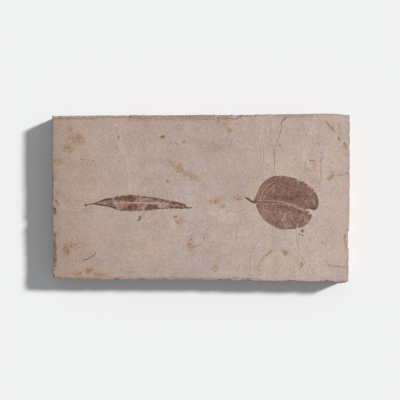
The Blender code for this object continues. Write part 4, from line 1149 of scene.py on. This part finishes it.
def linear(rgb):
    """The linear tone of a surface that looks like a displayed colour when it faces up in this light."""
    share = np.array(rgb) / 255.0
    values = np.where(share <= 0.04045, share / 12.92, ((share + 0.055) / 1.055) ** 2.4)
    return (*(values / LIGHT_ON_TOP).tolist(), 1.0)


class Painter:
    """One material's nodes and its colour so far, with lengths in millimetres on the object."""

    def __init__(self, name, swings):
        self.swings = swings
        self.material = bpy.data.materials.new(name)
        self.material.use_nodes = True
        self.tree = self.material.node_tree
        own = self.node("TexCoord").outputs["Object"]
        self.place = self.node("VectorMath", {0: own, "Scale": 1 / MM}, operation="SCALE").outputs[0]
        self.x, self.y, _ = self.node("SeparateXYZ", {0: self.place}).outputs
        self.colour = None

    def node(self, kind, inputs=None, **settings):
        """A new node with its settings and its inputs."""
        node = self.tree.nodes.new("ShaderNode" + kind)
        for setting, value in settings.items():
            setattr(node, setting, value)
        self.feed(node, inputs or {})
        return node

    def feed(self, node, inputs):
        """Gives a node its inputs, each a value or another node's output."""
        for socket, value in inputs.items():
            if isinstance(value, bpy.types.NodeSocket):
                self.tree.links.new(value, node.inputs[socket])
            else:
                node.inputs[socket].default_value = value

    def layer(self, name):
        return self.node("Attribute", attribute_name=name).outputs["Fac"]

    def maths(self, operation, a, b=0.0):
        return self.node("Math", {0: a, 1: b}, operation=operation).outputs[0]

    def times(self, a, b):
        return self.maths("MULTIPLY", a, b)

    def plus(self, a, b):
        return self.maths("ADD", a, b)

    def minus(self, a, b):
        return self.maths("SUBTRACT", a, b)

    def stretch(self, value, low, high, to_low=0.0, to_high=1.0):
        """The value's range from low to high spread over another range, eased at both ends."""
        inputs = {"Value": value, "From Min": low, "From Max": high, "To Min": to_low, "To Max": to_high}
        return self.node("MapRange", inputs, interpolation_type="SMOOTHSTEP").outputs[0]

    def noise(self, size, detail=1.0, place=None, low=0.3, high=0.7):
        """Noise from 0 to 1 with lumps of about one size."""
        inputs = {"Vector": place or self.place, "Scale": 1 / size, "Detail": detail, "Roughness": 0.55}
        found = self.node("TexNoise", inputs).outputs[0]
        return self.node("MapRange", {"Value": found, "From Min": low, "From Max": high}).outputs[0]

    def squeezed(self, x, y, z):
        """The place with its axes scaled, for noise that is drawn out in one direction."""
        return self.node("VectorMath", {0: self.place, 1: (x, y, z)}, operation="MULTIPLY").outputs[0]

    def streaks(self, size, midrib, degrees):
        """Noise drawn out along the side veins, which leave a level midrib at an angle on both its sides."""
        cos, sin = math.cos(math.radians(degrees)), math.sin(math.radians(degrees))
        off = self.maths("ABSOLUTE", self.minus(self.y, midrib))
        along = self.plus(self.times(self.x, cos), self.times(off, sin))
        across = self.minus(self.times(off, cos), self.times(self.x, sin))
        place = self.node("CombineXYZ", {0: self.times(along, 0.15), 1: across}).outputs[0]
        return self.noise(size, 0.0, place)

    def mix(self, kind, a, b, share):
        return self.node("Mix", {"Factor": share, 6: a, 7: b}, data_type="RGBA", blend_type=kind).outputs[2]

    def cover(self, colour, share):
        self.colour = self.mix("MIX", self.colour, colour, share)

    def tint(self, tint, share):
        """Leaves the tint's share of light."""
        self.colour = self.mix("MULTIPLY", self.colour, (*tint, 1.0), share)

    def vary(self, value, swing):
        """Makes the colour darker and lighter by up to the swing, by a value from 0 to 1."""
        darkest, lightest = ((*(1 + sign * swing * share for share in self.swings), 1.0) for sign in (-1, 1))
        self.colour = self.mix("MULTIPLY", self.colour, self.mix("MIX", darkest, lightest, value), 1.0)

    def mottle(self, lumps, detail=0.0, strength=1.0):
        for size, swing in lumps:
            self.vary(self.noise(size, detail), swing * strength)

    def speckle(self, specks, strength=1.0):
        """Scatters small specks."""
        for tint, size, squeeze, low, high, share in specks:
            noise = self.noise(size, 1.0, self.squeezed(1.0, 1.0, squeeze), 0.2, 0.8)
            self.tint(tint, self.times(self.stretch(noise, low, high), share * strength))

    def tint_layers(self, layer_tints):
        """Tints the colour where the layers are, each broken into patches by noise."""
        for name, tint, size, low, high, swing in layer_tints:
            noise = self.plus(self.times(self.noise(size, 2.0), swing), 1 - swing / 2)
            self.tint(tint, self.stretch(self.times(self.layer(name), noise), low, high))

    def finish(self, roughness, height):
        """Links the colour, a roughness and a height in millimetres to the shader."""
        bump = self.node("Bump", {"Height": height, "Distance": MM, "Strength": 1.0}).outputs[0]
        shader = self.tree.nodes["Principled BSDF"]
        self.feed(shader, {"Base Color": self.colour, "Roughness": roughness, "Normal": bump, "Metallic": 0})
        return self.material


def limestone():
    """Fine-grained limestone: mottled, stained with ochre and rust, layered on its sawn sides, with painted
    light and shade:
    a tone lighter to the right, shade along the rim and cracks, and pale and soft patches.
    """
    paint = Painter("limestone", STONE_SWINGS)
    side = paint.layer("side")
    paint.colour = linear(SIDE_TONE)
    paint.vary(paint.noise(3.0, 3.0, paint.squeezed(0.12, 0.12, 2.2)), 0.10)
    paint.mottle(SIDE_LUMPS, 1.0)
    paint.tint(SIDE_STAIN_TINT, paint.stretch(paint.noise(16.0, 3.0), 0.55, 0.95))
    side_colour = paint.colour

    # The stone's tone across the block: partly its own change and partly painted light, lighter towards the
    # lamp on the right
    share = paint.node("MapRange", {"Value": paint.x, "From Min": float(LEFT), "From Max": float(RIGHT)})
    ramp = paint.node("ValToRGB", {0: share.outputs[0]})
    stops = ramp.color_ramp.elements
    for place, _ in STONE_TONES_AND_LIGHT_FALLOFF[1:-1]:
        stops.new(place)
    for stop, (place, tone) in zip(stops, STONE_TONES_AND_LIGHT_FALLOFF):
        stop.position = place
        stop.color = linear(tone)
    paint.colour = ramp.outputs[0]
    paint.mottle(STONE_LUMPS)
    for tint, size, squeeze in STONE_HUES:
        paint.tint(tint, paint.noise(size, 0.0, paint.squeezed(1.0, 1.0, squeeze)))
    paint.speckle(STONE_SPECKS)
    paint.cover(side_colour, side)
    # Painted shade along the rim, broken into patches by noise
    patchiness = paint.stretch(paint.noise(2.0), 0.1, 0.8, 0.45, 1.0)
    paint.tint(RIM_SHADE_TINT, paint.times(paint.layer("rim"), patchiness))
    # Stains, with painted light in the pale patches and painted shade in the soft ones
    paint.tint_layers(STONE_STAIN_AND_SHADE_TINTS)
    # Dark marks, with painted shade along the cracks and inside the broken upper left rim
    dark = paint.times(paint.layer("dark"), paint.plus(paint.noise(1.5), 0.5))
    paint.tint(DARK_TINT, paint.stretch(dark, 0.0, 1.0))

    grain = paint.plus(paint.times(paint.noise(0.7, 2.0), 0.012), paint.times(paint.noise(0.25), 0.006))
    saw = paint.times(paint.noise(1.0, 2.0, paint.squeezed(0.2, 0.2, 2.5)), 0.06)
    roughness = paint.stretch(paint.noise(3.0, 2.0), 0.0, 1.0, 0.84, 0.95)
    return paint.finish(roughness, paint.plus(grain, paint.times(saw, side)))


def leaf_film(name, base, contrast, margin_share, midrib, vein_degrees):
    """A brown carbonised film: mottled, veined, darker at its margin, with pale flakes and bare spots."""
    paint = Painter(name, FILM_SWINGS)
    paint.colour = linear(base)
    paint.mottle(FILM_LUMPS, strength=contrast)
    streak = paint.streaks(1.3, midrib, vein_degrees)
    paint.vary(streak, 0.06)
    cells = paint.node("TexVoronoi", {"Vector": paint.place, "Scale": 1 / 1.9}, feature="DISTANCE_TO_EDGE")
    network = paint.stretch(cells.outputs["Distance"], 0.0, 0.12, 1.0, 0.0)
    paint.tint(NETWORK_TINT, paint.times(network, paint.noise(5.0)))
    paint.tint_layers(FILM_STAINS)
    paint.tint(RIB_TINT, paint.layer("rib"))
    edge = paint.layer("edge")
    bands = paint.noise(1.8, 0.0, low=0.35, high=0.65)
    dark_margin = paint.stretch(paint.times(edge, bands), 0.25, 0.75)
    paint.tint(DARK_MARGIN_TINT, paint.times(dark_margin, margin_share))
    paint.tint(PALE_MARGIN_TINT, paint.stretch(paint.times(edge, paint.minus(1.0, bands)), 0.35, 0.9))
    paint.speckle(FILM_SPECKS, contrast)
    paint.cover(linear(BARE_STONE), paint.stretch(paint.layer("bare"), 0.2, 0.7))

    grain = paint.times(paint.noise(0.5, 2.0), 0.02)
    raised = paint.times(paint.plus(network, streak), 0.03)
    return paint.finish(paint.stretch(paint.noise(1.5, 2.0), 0.0, 1.0, 0.6, 0.8), paint.plus(grain, raised))


def side_veins():
    """Fine side veins of the slender leaf, paired along its midrib and leaning towards the tip."""
    veins = []
    middle, upper, lower = (curve(points, 1.0) for points in (LANCE_VEINS[0][2], LANCE_UPPER, LANCE_LOWER))
    for start in np.linspace(*SIDE_VEINS):
        root = middle[np.abs(middle[:, 0] - start).argmin()]
        for margin in (upper, lower):
            tip = margin[np.abs(margin[:, 0] - start - SIDE_VEIN_LEAN).argmin()]
            bend = root + 0.5 * (tip - root) + np.array((1.0, 0.0))
            reach = root + SIDE_VEIN_REACH * (tip - root)
            veins.append((*SIDE_VEIN, (tuple(root), tuple(bend), tuple(reach))))
    return tuple(veins)


def place_piece(piece, material, node, slot):
    piece.data.materials.append(material)
    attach(piece, "root")
    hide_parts(node)


def make_pieces():
    films = film_outlines()
    place_piece(make_slab(films), limestone(), "slab", "limestone")
    materials = {kind: leaf_film(kind, *looks) for kind, looks in FILM_KINDS.items()}
    for node, kind, step, veins, looks in (
            ("round_leaf", "round_leaf_film", FILM_STEP, ROUND_VEINS, ROUND_LOOKS),
            ("lance_leaf", "lance_leaf_film", FILM_STEP, LANCE_VEINS + side_veins(), LANCE_LOOKS),
            ("stem_scrap", "scrap_film", SCRAP_STEP, (), {}),
            ("leaf_scrap", "scrap_film", SCRAP_STEP, (), {})):
        film = make_film(node + "_film", films[node], step, veins, looks)
        place_piece(film, materials[kind], node, kind)


def make_stage():
    """A plain pale floor, a soft lamp from the upper right, even fill light and a camera."""
    mesh = bpy.data.meshes.new("floor")
    corners = [(x * FLOOR_HALF, y * FLOOR_HALF, 0.0) for x, y in ((-1, -1), (1, -1), (1, 1), (-1, 1))]
    mesh.from_pydata(corners, [], [(0, 1, 2, 3)])
    floor = add("floor", mesh)
    floor.location.z = -FLOOR_LOWER
    pale = bpy.data.materials.new("floor")
    pale.use_nodes = True
    shader = pale.node_tree.nodes["Principled BSDF"]
    shader.inputs["Base Color"].default_value = (FLOOR_TONE, FLOOR_TONE, FLOOR_TONE, 1.0)
    shader.inputs["Roughness"].default_value = 0.9
    shader.inputs["Specular IOR Level"].default_value = 0.1
    mesh.materials.append(pale)

    light = bpy.data.lights.new("lamp", "SUN")
    light.energy = LAMP_STRENGTH
    light.angle = math.radians(LAMP_DEGREES)
    lamp = add("lamp", light)
    lamp.rotation_mode = "QUATERNION"
    lamp.rotation_quaternion = Vector(LAMP_WAY).to_track_quat("Z", "Y")

    world = bpy.data.worlds.new("fill")
    world.use_nodes = True
    background = world.node_tree.nodes["Background"]
    background.inputs["Color"].default_value = SKY_COLOUR
    background.inputs["Strength"].default_value = SKY_STRENGTH

    lens = bpy.data.cameras.new("camera")
    lens.lens = LENS
    lens.sensor_width = SENSOR
    camera = add("camera", lens)
    distance = PIXELS_ACROSS * MM_A_PIXEL * LENS / SENSOR
    camera.location = Vector((*VIEW_CENTRE, FACE + distance)) * MM
    scene = bpy.context.scene
    scene.world = world
    scene.camera = camera
    scene.view_settings.view_transform = "Standard"


make_pieces()
make_stage()
